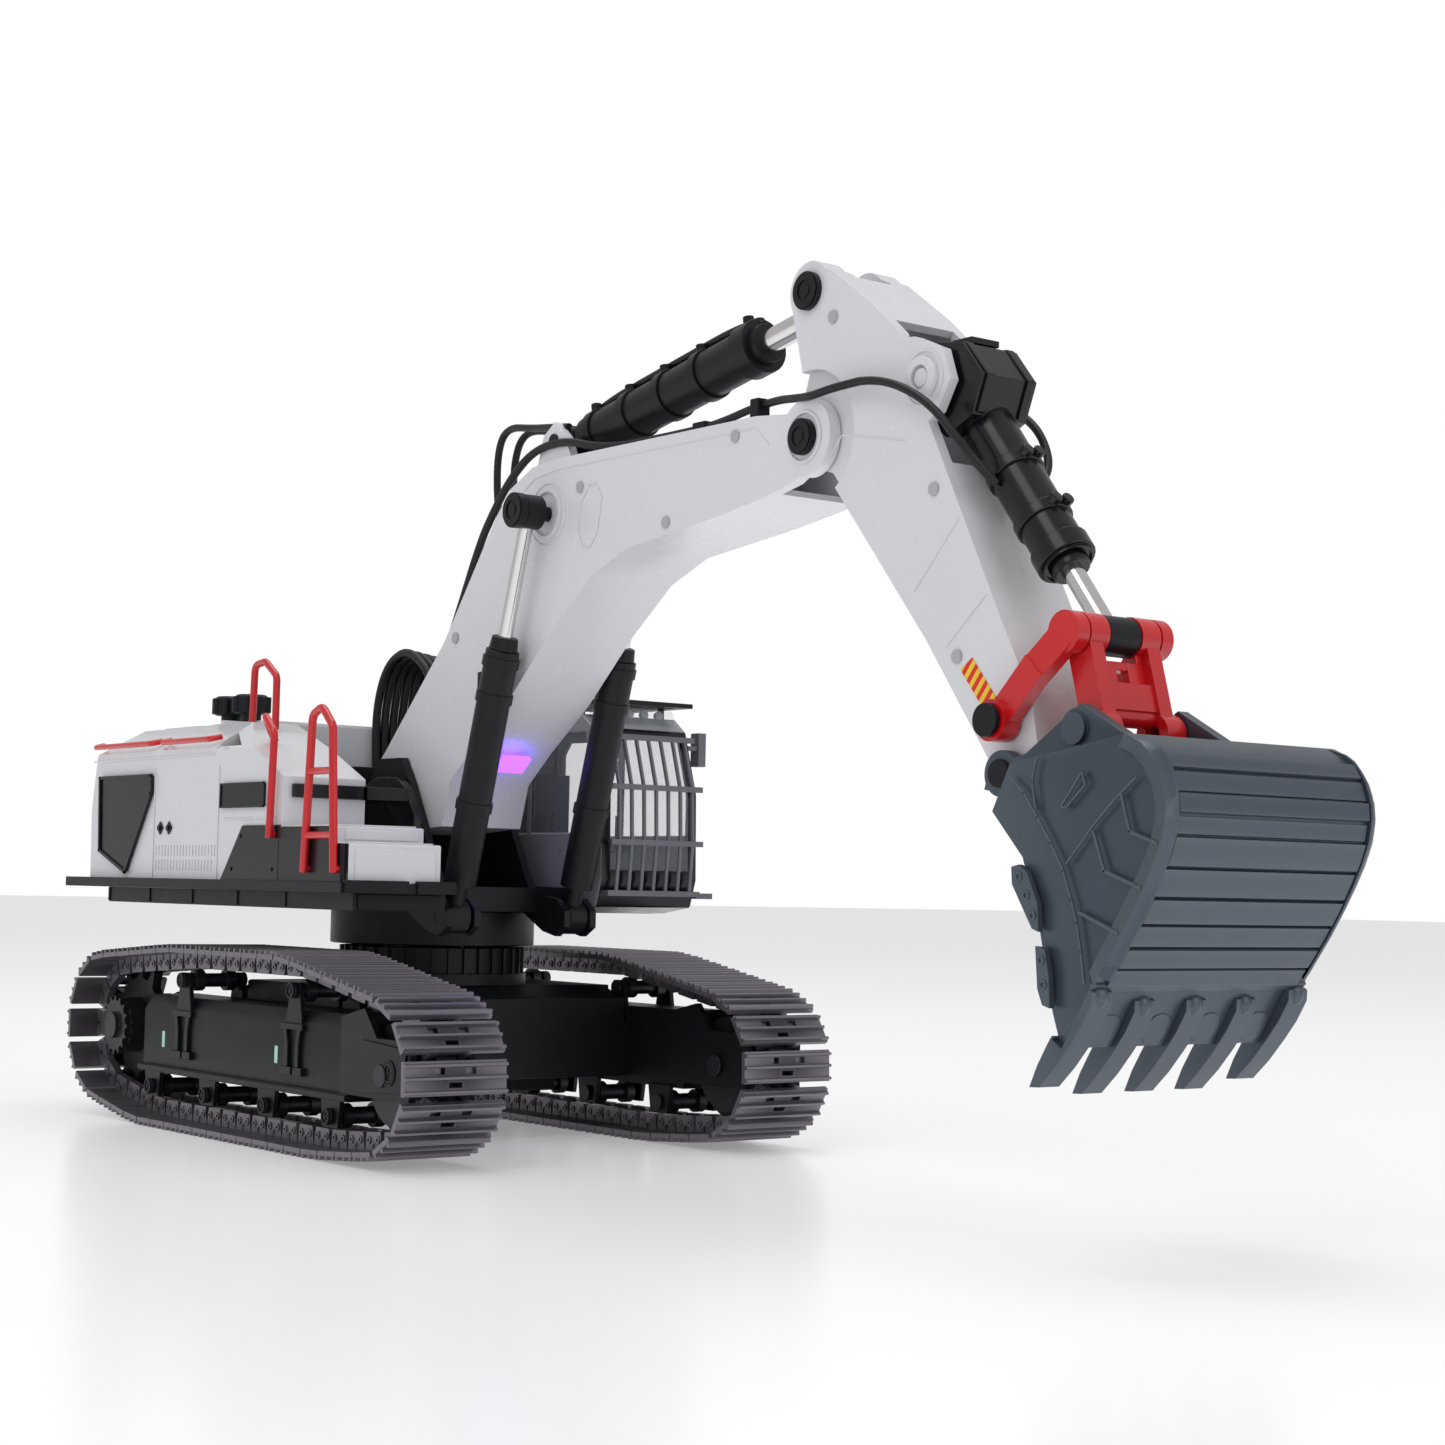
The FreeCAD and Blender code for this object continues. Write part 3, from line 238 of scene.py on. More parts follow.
def make_finishes():
    """Every finish of the model; the floor's is made with the floor."""
    moulded("white gloss", (0.72, 0.73, 0.765), 0.25, tint=0.012, grain=900.0, depth=0.015, coat=0.25)
    moulded("black satin", (0.0058, 0.0065, 0.009), 0.40, tint=0.2, depth=0.22, specular=0.27)
    moulded("black gloss", (0.005, 0.0056, 0.008), 0.25, tint=0.2, depth=0.10, coat=0.1, specular=0.34)
    moulded("guard grey", (0.15, 0.15, 0.175), 0.33, tint=0.06, depth=0.12, metallic=0.3)
    moulded("red gloss", (0.60, 0.005, 0.009), 0.30, tint=0.05, depth=0.04, coat=0.4)
    moulded("track alloy", (0.052, 0.048, 0.058), 0.36, tint=0.18, depth=0.35, metallic=0.7,
            worn=(0.20, 0.185, 0.21))
    moulded("wheel alloy", (0.026, 0.027, 0.035), 0.38, tint=0.15, depth=0.3, metallic=0.5)
    moulded("bucket paint", (0.058, 0.075, 0.098), 0.36, tint=0.08, grain=1100.0, depth=0.4, metallic=0.45,
            worn=(0.11, 0.13, 0.155))
    moulded("gear steel", (0.30, 0.30, 0.31), 0.35, metallic=1.0)
    moulded("hose rubber", (0.009, 0.009, 0.011), 0.45, tint=0.1, depth=0.3, specular=0.35)
    moulded("screw grey", (0.42, 0.43, 0.47), 0.35, tint=0.05)
    moulded("silver grey", (0.44, 0.45, 0.49), 0.3, tint=0.03, depth=0.06, metallic=0.25)
    moulded("battery wrap", (0.03, 0.05, 0.22), 0.3)
    moulded("board green", (0.01, 0.14, 0.05), 0.4)
    moulded("sticker mint", (0.45, 0.72, 0.66), 0.5)
    polished("rod chrome", (0.74, 0.73, 0.72), 0.16)
    striped_tape("warning tape", (0.72, 0.02, 0.015), (0.85, 0.62, 0.03), 0.0023)
    pane = tinted("clear pane", 30.0, (0.55, 0.6, 0.66), (0.62, 0.67, 0.72))
    pane.inputs["Roughness"].default_value = 0.04
    pane.inputs["Alpha"].default_value = 0.14
    lamp = tinted("violet lamp", 200.0, (0.25, 0.08, 0.9), (0.3, 0.12, 1.0))
    lamp.inputs["Emission Color"].default_value = (0.14, 0.04, 1.0, 1.0)
    lamp.inputs["Emission Strength"].default_value = 5.0


# ---- drawing tools

def block(bm, x0, x1, y0, y1, z0, z1):
    """A box between two corners."""
    made = bmesh.ops.create_cube(bm, size=1.0)["verts"]
    bmesh.ops.scale(bm, verts=made, vec=(x1 - x0, y1 - y0, z1 - z0))
    bmesh.ops.translate(bm, verts=made, vec=((x0 + x1) / 2, (y0 + y1) / 2, (z0 + z1) / 2))
    return made


def turned(bm, start, axis, r, length, end_r=None, sides=28):
    """A round length from start along axis, which may taper to end_r."""
    made = bmesh.ops.create_cone(bm, cap_ends=True, segments=sides, radius1=r,
                                 radius2=r if end_r is None else end_r, depth=length)["verts"]
    turn = Vector(axis).to_track_quat("Z", "Y").to_matrix().to_4x4()
    place = Matrix.Translation(Vector(start)) @ turn @ Matrix.Translation((0, 0, length / 2))
    bmesh.ops.transform(bm, matrix=place, verts=made)
    return made


def ring(bm, centre, axis, inner, outer, length, sides=32):
    """A flat-ended ring: a circle spun about its own axis."""
    corners = [(inner, 0, 0), (outer, 0, 0), (outer, 0, length), (inner, 0, length)]
    verts = [bm.verts.new(c) for c in corners]
    edges = [bm.edges.new((verts[i], verts[(i + 1) % 4])) for i in range(4)]
    bmesh.ops.spin(bm, geom=verts + edges, cent=(0, 0, 0), axis=(0, 0, 1), angle=2 * math.pi, steps=sides,
                   use_merge=True)
    linked = set(verts)
    frontier = list(verts)
    while frontier:
        for edge in frontier.pop().link_edges:
            for v in edge.verts:
                if v not in linked:
                    linked.add(v)
                    frontier.append(v)
    turn = Vector(axis).to_track_quat("Z", "Y").to_matrix().to_4x4()
    bmesh.ops.transform(bm, matrix=Matrix.Translation(Vector(centre)) @ turn, verts=list(linked))
    return list(linked)


def slab(bm, points, y0, y1):
    """A side outline in X and Z, given thickness from y0 to y1."""
    base = [bm.verts.new((x, y0, z)) for x, z in points]
    face = bm.faces.new(base)
    grown = bmesh.ops.extrude_face_region(bm, geom=[face])["geom"]
    top = [v for v in grown if isinstance(v, bmesh.types.BMVert)]
    bmesh.ops.translate(bm, verts=top, vec=(0, y1 - y0, 0))
    return base + top


def mirrored(bm, verts):
    """Copies vertices and their faces to the other side."""
    faces = {f for v in verts for f in v.link_faces}
    edges = {e for v in verts for e in v.link_edges}
    copy = bmesh.ops.duplicate(bm, geom=list(verts) + list(edges) + list(faces))["geom"]
    other = [v for v in copy if isinstance(v, bmesh.types.BMVert)]
    bmesh.ops.scale(bm, verts=other, vec=(1, -1, 1))
    return other


def sliced(bm, axis, places):
    """Cuts a whole drawing by planes square to an axis."""
    for at in places:
        everything = bm.verts[:] + bm.edges[:] + bm.faces[:]
        bmesh.ops.bisect_plane(bm, geom=everything, plane_co=Vector(axis) * at, plane_no=axis)


def smooth_below(bm, degrees):
    """Smooth faces, with the edges sharper than the angle kept crisp."""
    for face in bm.faces:
        face.smooth = True
    for edge in bm.edges:
        if len(edge.link_faces) == 2:
            edge.smooth = edge.calc_face_angle(0.0) < math.radians(degrees)


def placed(name, data):
    """A new object in the scene."""
    made = bpy.data.objects.new(name, data)
    bpy.context.scene.collection.objects.link(made)
    return made


def store(bm, name, body, finish, slot, stands_for=(), edge=0.0, soft_below=38, scale=MM):
    """Makes a piece of a drawing, with its edges rounded by a modifier, riding on a body."""
    bmesh.ops.scale(bm, verts=bm.verts, vec=(scale, scale, scale))
    bmesh.ops.recalc_face_normals(bm, faces=bm.faces)
    smooth_below(bm, soft_below)
    mesh = bpy.data.meshes.new(name)
    bm.to_mesh(mesh)
    bm.free()
    piece = placed(name, mesh)
    mesh.materials.append(materials[finish])
    if edge:
        rounding = piece.modifiers.new("rounded edges", "BEVEL")
        rounding.width = edge * MM
        rounding.segments = 2
        rounding.limit_method = "ANGLE"
        rounding.angle_limit = math.radians(soft_below)
        rounding.harden_normals = True
        rounding.use_clamp_overlap = True
    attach(piece, body)
    if stands_for:
        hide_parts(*stands_for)
    return piece


def dress(node, finish, slot, edge=0.0, soft_below=38):
    """The CAD node's own shape with rounded edges, standing for the node."""
    source = frame["nodes"][node]
    bm = bmesh.new()
    bm.from_mesh(source.data)
    bmesh.ops.remove_doubles(bm, verts=bm.verts, dist=0.000002)
    bmesh.ops.dissolve_limit(bm, angle_limit=math.radians(0.6), verts=bm.verts, edges=bm.edges)
    return store(bm, node + "_dressed", source["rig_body"], finish, slot, (node,), edge, soft_below, scale=1.0)


def tint_faces(piece, finish, wanted):
    """Gives a second finish to the faces whose centre, in millimetres, is wanted."""
    piece.data.materials.append(materials[finish])
    index = len(piece.data.materials) - 1
    for face in piece.data.polygons:
        if wanted(*(c / MM for c in face.center), face.normal):
            face.material_index = index


def hose(name, body, points, r, finish="hose rubber", stands_for=()):
    """A round hose on one smooth line through its control points, as a mesh."""
    curve = bpy.data.curves.new(name, "CURVE")
    curve.dimensions = "3D"
    curve.bevel_depth = r * MM
    curve.bevel_resolution = 3
    curve.resolution_u = 8
    curve.use_fill_caps = True
    line = curve.splines.new("NURBS")
    line.points.add(len(points) - 1)
    for control, (x, y, z) in zip(line.points, points):
        control.co = (x * MM, y * MM, z * MM, 1.0)
    line.order_u = 3
    line.use_endpoint_u = True
    drawn = placed(name + "_line", curve)
    bpy.context.view_layer.update()
    mesh = bpy.data.meshes.new_from_object(drawn.evaluated_get(bpy.context.evaluated_depsgraph_get()))
    bpy.data.objects.remove(drawn)
    mesh.name = name
    mesh.materials.clear()
    mesh.materials.append(materials[finish])
    piece = placed(name, mesh)
    for face in mesh.polygons:
        face.use_smooth = True
    if body:
        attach(piece, body)
    if stands_for:
        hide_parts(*stands_for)
    return piece


def toward(a, b, distance):
    """The point a distance from a in the direction of b."""
    length = math.dist(a, b)
    return a[0] + (b[0] - a[0]) * distance / length, a[1] + (b[1] - a[1]) * distance / length


# ---- tracks

def belt_pins():
    """The chain's pin centres, anticlockwise round the idler, carriers, sprocket and rollers."""
    lift, drop = 73.0 - CARRIER_Z, ROLLER_Z - SHOE_OUTER
    circles = [IDLER, (CARRIERS[1], CARRIER_Z, lift), (CARRIERS[0], CARRIER_Z, lift), SPROCKET,
               (ROLLERS[0], ROLLER_Z, drop), (ROLLERS[3], ROLLER_Z, drop)]
    runs = []
    for (x0, z0, r0), (x1, z1, r1) in zip(circles, circles[1:] + circles[:1]):
        away = math.atan2(z1 - z0, x1 - x0) - math.acos((r0 - r1) / math.hypot(x1 - x0, z1 - z0))
        n = Vector((math.cos(away), math.sin(away)))
        runs.append((away, Vector((x0, z0)) + r0 * n, Vector((x1, z1)) + r1 * n))
    stretches = []
    for i, (away, a, b) in enumerate(runs):
        x, z, r = circles[(i + 1) % len(circles)]
        sweep = (runs[(i + 1) % len(runs)][0] - away) % (2 * math.pi)
        stretches.append(((b - a).length, a, b, None))
        stretches.append((r * sweep, Vector((x, z)), away, r))
    total = sum(s[0] for s in stretches)
    pins = []
    for i in range(LINK_COUNT):
        s = total * i / LINK_COUNT
        for length, a, b, r in stretches:
            if s <= length:
                pins.append(a + (b - a) * s / length if r is None else
                            a + r * Vector((math.cos(b + s / r), math.sin(b + s / r))))
                break
            s -= length
    return pins


def draw_shoe(bm, half):
    """One shoe along X, its outside up: pierced plate, three grousers, and two link blocks with bushes."""
    edge = half - 0.25
    plate = bmesh.ops.create_grid(bm, x_segments=1, y_segments=1, size=1.0)["verts"]
    bmesh.ops.scale(bm, verts=plate, vec=(edge, SHOE_W / 2, 1))
    bmesh.ops.translate(bm, verts=plate, vec=(0, 0, LINK_HALF))
    sliced(bm, (1, 0, 0), (-3.7, -1.7, 1.4, 3.9))
    sliced(bm, (0, 1, 0), (-9.0, -4.6, -2.9, 2.9, 4.6, 9.0))
    holes = []
    for face in bm.faces:
        x, y, _ = face.calc_center_median()
        if (1.4 < x < 3.9 and 4.6 < abs(y) < 9.0) or (-3.7 < x < -1.7 and abs(y) < 2.9):
            holes.append(face)
    bmesh.ops.delete(bm, geom=holes, context="FACES")
    grown = bmesh.ops.extrude_face_region(bm, geom=bm.faces[:])["geom"]
    raised = [v for v in grown if isinstance(v, bmesh.types.BMVert)]
    bmesh.ops.translate(bm, verts=raised, vec=(0, 0, PLATE_T))
    top = LINK_HALF + PLATE_T
    for x in (-half * 0.78, 0.0, half * 0.72):
        grouser = block(bm, x - 0.85, x + 0.85, -SHOE_W / 2, SHOE_W / 2, top - 0.1, SHOE_OUTER)
        crest = [v for v in grouser if v.co.z > top + 0.5]
        bmesh.ops.scale(bm, verts=crest, vec=(0.55, 1, 1), space=Matrix.Translation((-x, 0, 0)))
    for side in (1, -1):
        y0, y1 = sorted((side * 5.5, side * 9.0))
        crown = LINK_HALF + 0.2
        slab(bm, [(-half + 1.6, -LINK_HALF), (half - 1.6, -LINK_HALF), (half - 0.3, crown), (0.5, crown),
                  (0.3, 1.2), (-0.3, 1.2), (-0.5, crown), (-half + 0.3, crown)], y0, y1)
        for x in (-half / 2, half / 2):
            ring(bm, (x, side * 9.0, -0.4), (0, side, 0), 0.75, 1.55, 0.5, sides=8)


def track_shoes(name, side):
    """One side's whole chain, each shoe stretched to its own pair of pins."""
    pins = belt_pins()
    shoe = bmesh.new()
    half = (pins[1] - pins[0]).length / 2
    draw_shoe(shoe, half)
    pattern = bpy.data.meshes.new("shoe")
    shoe.to_mesh(pattern)
    shoe.free()
    bm = bmesh.new()
    for a, b in zip(pins, pins[1:] + pins[:1]):
        before = len(bm.verts)
        bm.from_mesh(pattern)
        bm.verts.ensure_lookup_table()
        along = (b - a).normalized()
        middle = (a + b) / 2
        place = Matrix(((along.x, 0, along.y, middle.x), (0, 1, 0, side * GAUGE_HALF),
                        (along.y, 0, -along.x, middle.y), (0, 0, 0, 1)))
        stretch = Matrix.Diagonal(((b - a).length / (2 * half), 1, 1, 1))
        bmesh.ops.transform(bm, matrix=place @ stretch, verts=bm.verts[before:])
    bpy.data.meshes.remove(pattern)
    return store(bm, "track_shoes_" + name, "undercarriage", "track alloy", "track_metal",
                 ("track_chain_" + name,))


def cross_cap(bm, x, y, z, r, side):
    """A round screw cap with a cross slot, facing out along Y."""
    ring(bm, (x, y, z), (0, side, 0), r * 0.72, r, 0.9, sides=20)
    turned(bm, (x, y, z), (0, side, 0), r * 0.7, 0.45, sides=20)
    for w, h in ((r * 0.5, 0.35), (0.35, r * 0.5)):
        block(bm, x - w, x + w, min(y, y + side * 0.8), max(y, y + side * 0.8), z - h, z + h)


def track_frame_details(name, side):
    """Carrier brackets, caps, the end plate with its screw, and a rail on a track frame's outer face."""
    bm = bmesh.new()
    face = side * (GAUGE_HALF + 13.0)
    cap_y = side * (GAUGE_HALF + 15.1)

    def out(depth):
        return sorted((face, face + side * depth))

    for x in CARRIERS:
        block(bm, x - 9, x + 9, *out(1.6), 48.5, 51.0)
        for lean in (-1, 1):
            leg = ((7.5, 49), (4.5, 49), (3.0, 42), (3.0, 33.5), (6.0, 33.5), (6.0, 43))
            slab(bm, [(x + lean * dx, z) for dx, z in leg], *out(1.5))
        block(bm, x - 9.5, x + 0.6, *out(1.9), 30.2, 33.5)
        block(bm, x + 2.2, x + 9.5, *out(1.9), 30.2, 33.5)
        cross_cap(bm, x, cap_y, CARRIER_Z, 3.3, side)
    for x in ROLLERS:
        cross_cap(bm, x, cap_y, ROLLER_Z, 3.3, side)
    plate = side * (GAUGE_HALF + 14.5)
    ends = sorted((plate, plate + side * 0.8))
    slab(bm, [(108, 27.5), (141, 29.5), (141, 46), (108, 48)], *ends)
    ring(bm, (129, plate + side * 0.8, 36.5), (0, side, 0), 4.1, 5.0, 0.5)
    cross_cap(bm, 129, plate + side * 0.4, 36.5, 4.0, side)
    block(bm, -92, 96.5, *sorted((side * 95.2, side * 95.9)), 23.4, 25.6)
    return store(bm, "track_frame_fittings_" + name, "undercarriage", *BLACK,
                 edge=0.25)


def frame_stickers():
    """Two plain mint rectangles on the right track frame."""
    bm = bmesh.new()
    for x in (-72.0, 34.0):
        block(bm, x - 1.3, x + 1.3, -93.15, -92.95, 34, 41)
    return store(bm, "frame_stickers", "undercarriage", "sticker mint", "white_plastic")


def undercarriage():
    """Both tracks with their wheels, and the carbody between them."""
    for name, side in (("left", 1), ("right", -1)):
        track_shoes(name, side)
        track_frame_details(name, side)
        dress("track_frame_" + name, *BLACK, 0.5)
        dress("sprocket_" + name, *WHEEL, 0.25)
        dress("idler_" + name, *WHEEL, 0.4)
        for end in ("rear", "front"):
            dress("carrier_roller_" + name + "_" + end, *WHEEL, 0.2)
        for number in "1234":
            dress("track_roller_" + name + "_" + number, *WHEEL, 0.2)
    frame_stickers()
    dress("carbody_frame", *BLACK, 0.6)
    dress("travel_motors", *STEEL, 0.4)
    dress("slew_ring", "black satin", "gear_steel", 0.2)
    dress("slew_pinion", *STEEL, 0.1)


# ---- upper works

def recessed_cells(bm, centres, sides, r, rim, face, depth, turn):
    """Cells with raised rims, facing -Y: each is a polygon whose middle is pushed in."""
    for x, z in centres:
        cell = bmesh.ops.create_circle(bm, cap_ends=True, segments=sides, radius=r)["verts"]
        upright = Matrix.Rotation(math.pi / 2, 4, "X") @ Matrix.Rotation(turn, 4, "Z")
        bmesh.ops.transform(bm, matrix=Matrix.Translation((x, face, z)) @ upright, verts=cell)
        middle = list(cell[0].link_faces)
        bmesh.ops.inset_region(bm, faces=middle, thickness=rim)
        bmesh.ops.translate(bm, verts=middle[0].verts[:], vec=(0, depth, 0))


def inside(x, z, corners):
    """Whether a point lies within an outline."""
    hit = False
    for (x0, z0), (x1, z1) in zip(corners, corners[1:] + corners[:1]):
        if (z0 > z) != (z1 > z) and x < x0 + (x1 - x0) * (z - z0) / (z1 - z0):
            hit = not hit
    return hit


GRILLE = [(-158, 155), (-102, 155), (-101.6, 147), (-127, 111), (-156, 121)]


def seam(bm, points, width, y0, y1):
    """A raised line through points, one bar to each length."""
    for (x0, z0), (x1, z1) in zip(points, points[1:]):
        along = Vector((x1 - x0, z1 - z0)).normalized() * width / 2
        across = Vector((-along.y, along.x))
        start = Vector((x0, z0)) - along
        end = Vector((x1, z1)) + along
        slab(bm, [start + across, start - across, end - across, end + across], y0, y1)


def rim_of(bm, corners, width, y0, y1):
    """A raised frame along an outline."""
    seam(bm, corners + corners[:1], width, y0, y1)


def side_grilles():
    """The honeycomb grille on both sides and the small hatched one on the right."""
    bm = bmesh.new()
    pitch = 4.0
    cells = []
    for row in range(16):
        for column in range(18):
            x = -160 + pitch * (column + 0.5 * (row % 2))
            z = 110 + pitch * 0.866 * row
            if all(inside(x + dx, z + dz, GRILLE) for dx, dz in ((2.4, 0), (-2.4, 0), (0, 2.4), (0, -2.4))):
                cells.append((x, z))
    recessed_cells(bm, cells, 6, pitch / math.sqrt(3), 0.42, HOUSE_SIDE - 1.9, 1.0, math.radians(30))
    rim_of(bm, GRILLE, 1.4, HOUSE_SIDE - 2.1, HOUSE_SIDE - 1.0)
    mirrored(bm, bm.verts[:])
    hatch = []
    for row in range(7):
        for column in range(26):
            x = -31.6 + 1.55 * column + 0.78 * (row % 2)
            z = 140.6 + 1.32 * row
            if x < 7.4:
                hatch.append((x, z))
    recessed_cells(bm, hatch, 4, 1.0, 0.2, HOUSE_SIDE - 1.45, 0.4, 0.0)
    rim_of(bm, [(-32, 139.5), (8, 139.5), (8, 149.5), (-32, 149.5)], 0.8, HOUSE_SIDE - 1.5, HOUSE_SIDE - 0.9)
    return store(bm, "grille_meshes", "upper", *GLOSS, soft_below=20)


def house_trim():
    """Roof plates, seams and louvre slots, in the house's own white."""
    bm = bmesh.new()
    side = HOUSE_SIDE
    for x0, x1 in ((-146, -104), (-98, -78), (-73, -42)):
        plate = set(block(bm, x0, x1, -64, 62, 178, 179.3))
        upright = []
        for edge in bm.edges:
            a, b = edge.verts
            if a in plate and b in plate and abs(a.co.z - b.co.z) > 1:
                upright.append(edge)
        bmesh.ops.bevel(bm, geom=upright, offset=4.0, affect="EDGES", segments=3, profile=0.5, material=-1)
    block(bm, -77, -74.5, -68, 66, 178, 180.3)
    for z in (112.2, 118.6):
        for i in range(20):
            x = -98 + i * 3.1
            if x < -40 + (z - 112) * 0.8:
                block(bm, x, x + 1.1, side - 0.45, side, z, z + 4.6)
    for x in (-100.5, -36.0):
        block(bm, x, x + 0.7, side - 0.5, side, 108, 158)
    block(bm, -168, -41, side - 0.5, side, 162.6, 163.4)
    block(bm, -30, 22, side - 0.5, side, 134.0, 134.7)
    return store(bm, "house_trim", "upper", *WHITE, edge=0.25)


def house_latches():
    """Two quarter-turn latches and four small screws on the house's right side."""
    bm = bmesh.new()
    for x in (-93.0, -84.0):
        turned(bm, (x, HOUSE_SIDE, 131), (0, -1, 0), 3.0, 0.8, sides=4)
        turned(bm, (x, HOUSE_SIDE - 0.8, 131), (0, -1, 0), 1.2, 0.8, sides=12)
    for x, z in ((-20, 113), (17, 113), (17, 127), (-12, 127)):
        turned(bm, (x, HOUSE_SIDE - 1.2, z), (0, -1, 0), 0.9, 0.5, sides=12)
    return store(bm, "house_latches", "upper", *GLOSS, edge=0.2)


def intake_domes():
    """Fluted knobs on the two intakes."""
    bm = bmesh.new()
    up = (0, 0, 1)
    y = -52
    for x in (-99, -79):
        turned(bm, (x, y, 178), up, 4.6, 7.0)
        turned(bm, (x, y, 184.2), up, 7.4, 1.4, end_r=8.0)
        turned(bm, (x, y, 185.6), up, 8.0, 6.0)
        turned(bm, (x, y, 191.6), up, 8.0, 1.4, end_r=6.6)
        for i in range(8):
            angle = i * math.pi / 4
            flute = (x + 7.4 * math.cos(angle), y + 7.4 * math.sin(angle), 184.8)
            turned(bm, flute, up, 1.9, 7.2, sides=12)
    return store(bm, "intake_domes", "upper", *BLACK, ("intake_caps",), edge=0.3)


def step_treads():
    """Raised pads and nosings on the white steps."""
    bm = bmesh.new()
    block(bm, 24, 64.5, -84, -48, 131, 131.7)
    block(bm, 67.5, 78.5, -84, -48, 124, 124.6)
    block(bm, 80, 80.7, -85, -48, 108, 122)
    block(bm, 66, 66.6, -82, -48, 125.5, 129.5)
    return store(bm, "step_pads", "upper", *WHITE, edge=0.4)


def deck_lip():
    """The lip along the deck's right and front edges, notched at the front, with ribs below it."""
    bm = bmesh.new()
    block(bm, -187, 82.8, -92.6, -91.4, 104.0, 108.4)
    block(bm, 81.6, 84.2, -91.4, -62, 104.0, 109.2)
    block(bm, 81.6, 84.2, -58, -40, 104.0, 109.2)
    block(bm, 74, 74.8, -80, -42, 97.5, 103.6)
    for x in range(-160, 60, 44):
        block(bm, x, x + 1.6, -82.6, -81.6, 97.5, 103.8)
    return store(bm, "deck_lip", "upper", *BLACK, edge=0.3)


def boom_foot_bracket():
    """The black arm beside the boom foot, and two bars along the boxes next to it."""
    bm = bmesh.new()
    slab(bm, [(-39, 144.4), (-39, 150.4), (-15.5, 150), (-1.5, 154.4), (15, 154.2), (22, 149.8), (31, 137.5),
              (31, 125), (17.5, 125), (17.5, 134.5), (8, 141.5), (-4, 144)], -29.5, -25.5)
    block(bm, 22.9, 26, -84, -49.2, 143.2, 149)
    block(bm, -12, 26, -52, -29.4, 143.2, 149)
    return store(bm, "boom_foot_bracket", "upper", *GLOSS, edge=0.5)


def cab_pieces():
    """The cab's shell, windows, guard, visor and inside, its roof lamps and the strips below its front."""
    shell = dress("cab_shell", "silver grey", "white_plastic", 0.8)
    tint_faces(shell, "black gloss", lambda x, y, z, n: z < 131 or (n.x > 0.3 and z < 174))
    dress("cab_windows", "clear pane", "clear_plastic", 0.1)
    dress("cab_guard", "guard grey", "guard_grey", 0.25)
    dress("cab_visor", *BLACK, 0.35)
    dress("cab_interior", *BLACK, 0.8)
    bm = bmesh.new()
    for y in (46, 54, 62, 70, 78):
        turned(bm, (58, y, 184.6), (0.6, 0, 0.2), 2.0, 2.2, sides=16)
    for x in (64, 67):
        block(bm, x, x + 1.0, 42, 86, 101, 112)
    store(bm, "cab_lamps", "upper", "screw grey", "white_plastic", edge=0.2)


def loom_cables():
    """Six cables from the deck to the boom's foot."""
    for i in range(6):
        y = -10.0 + 4.0 * i
        route = [(-30, y, 136), (-36, y, 150), (-37.5, y, 168), (-38 + i, y, 188), (-30, y, 206),
                 (-14, y, 213 - i), (0, y, 207), (8, y, 200), (14, y, 190)]
        stands_for = ("cable_loom",) if i == 0 else ()
        cable = hose("loom_cable_" + str(i + 1), None, route, 1.9, stands_for=stands_for)
        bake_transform(cable)


def upper_works():
    """Everything that turns with the deck."""
    dress("engine_housing", *WHITE, 1.4)
    dress("housing_grilles", *GLOSS, 0.4)
    steps = dress("step_boxes", *WHITE, 0.9)
    tint_faces(steps, "black gloss", lambda x, y, z, n: y < -87)
    dress("equipment_boxes", *BLACK, 0.8)
    dress("handrails", *RED)
    dress("deck_frame", *BLACK, 0.7)
    dress("turntable_drum", *BLACK, 0.6)
    dress("slew_motor", *STEEL, 0.4)
    dress("battery_pack", "battery wrap", "battery_wrap", 1.5)
    dress("counterweight", *STEEL, 1.0)
    dress("control_board", "board green", "board_green", 0.2)
    side_grilles()
    house_trim()
    house_latches()
    intake_domes()
    step_treads()
    deck_lip()
    boom_foot_bracket()
    cab_pieces()
    loom_cables()


# ---- boom, arm and cylinders

def pin_rings(bm, x, z, y, radii):
    """Raised rings about a pin on the right side, each (inner, outer, height)."""
    for inner, outer, height in radii:
        ring(bm, (x, y, z), (0, -1, 0), inner, outer, height)


def boom_trim():
    """Bosses, the raised oval and seams on both of the boom's sides, and a bar on its back."""
    bm = bmesh.new()
    pin_rings(bm, *LIFT_TOP, -BOOM_HALF, ((9.0, 10.5, 1.4), (12.5, 13.2, 0.5)))
    pin_rings(bm, *ARM_PIVOT, -BOOM_HALF, ((8.5, 9.5, 0.9),))
    pin_rings(bm, *FOOT, -BOOM_HALF, ((13.0, 14.0, 0.5),))
    oval = [(139, 262), (144, 268), (149, 268), (153, 262), (150, 248), (145, 243), (140, 244), (137, 250)]
    rim_of(bm, oval, 0.6, -BOOM_HALF - 0.5, -BOOM_HALF)
    seam(bm, [(62, 182), (77, 196)], 0.5, -BOOM_HALF - 0.35, -BOOM_HALF)
    crown = [(80, 262), (104, 275), (122, 277), (250, 276.6), (258, 270)]
    seam(bm, crown, 0.45, -BOOM_HALF - 0.3, -BOOM_HALF)
    mirrored(bm, bm.verts[:])
    block(bm, 40, 44, -16, 16, 209, 214)
    return store(bm, "boom_trim", "boom", *WHITE, edge=0.15)


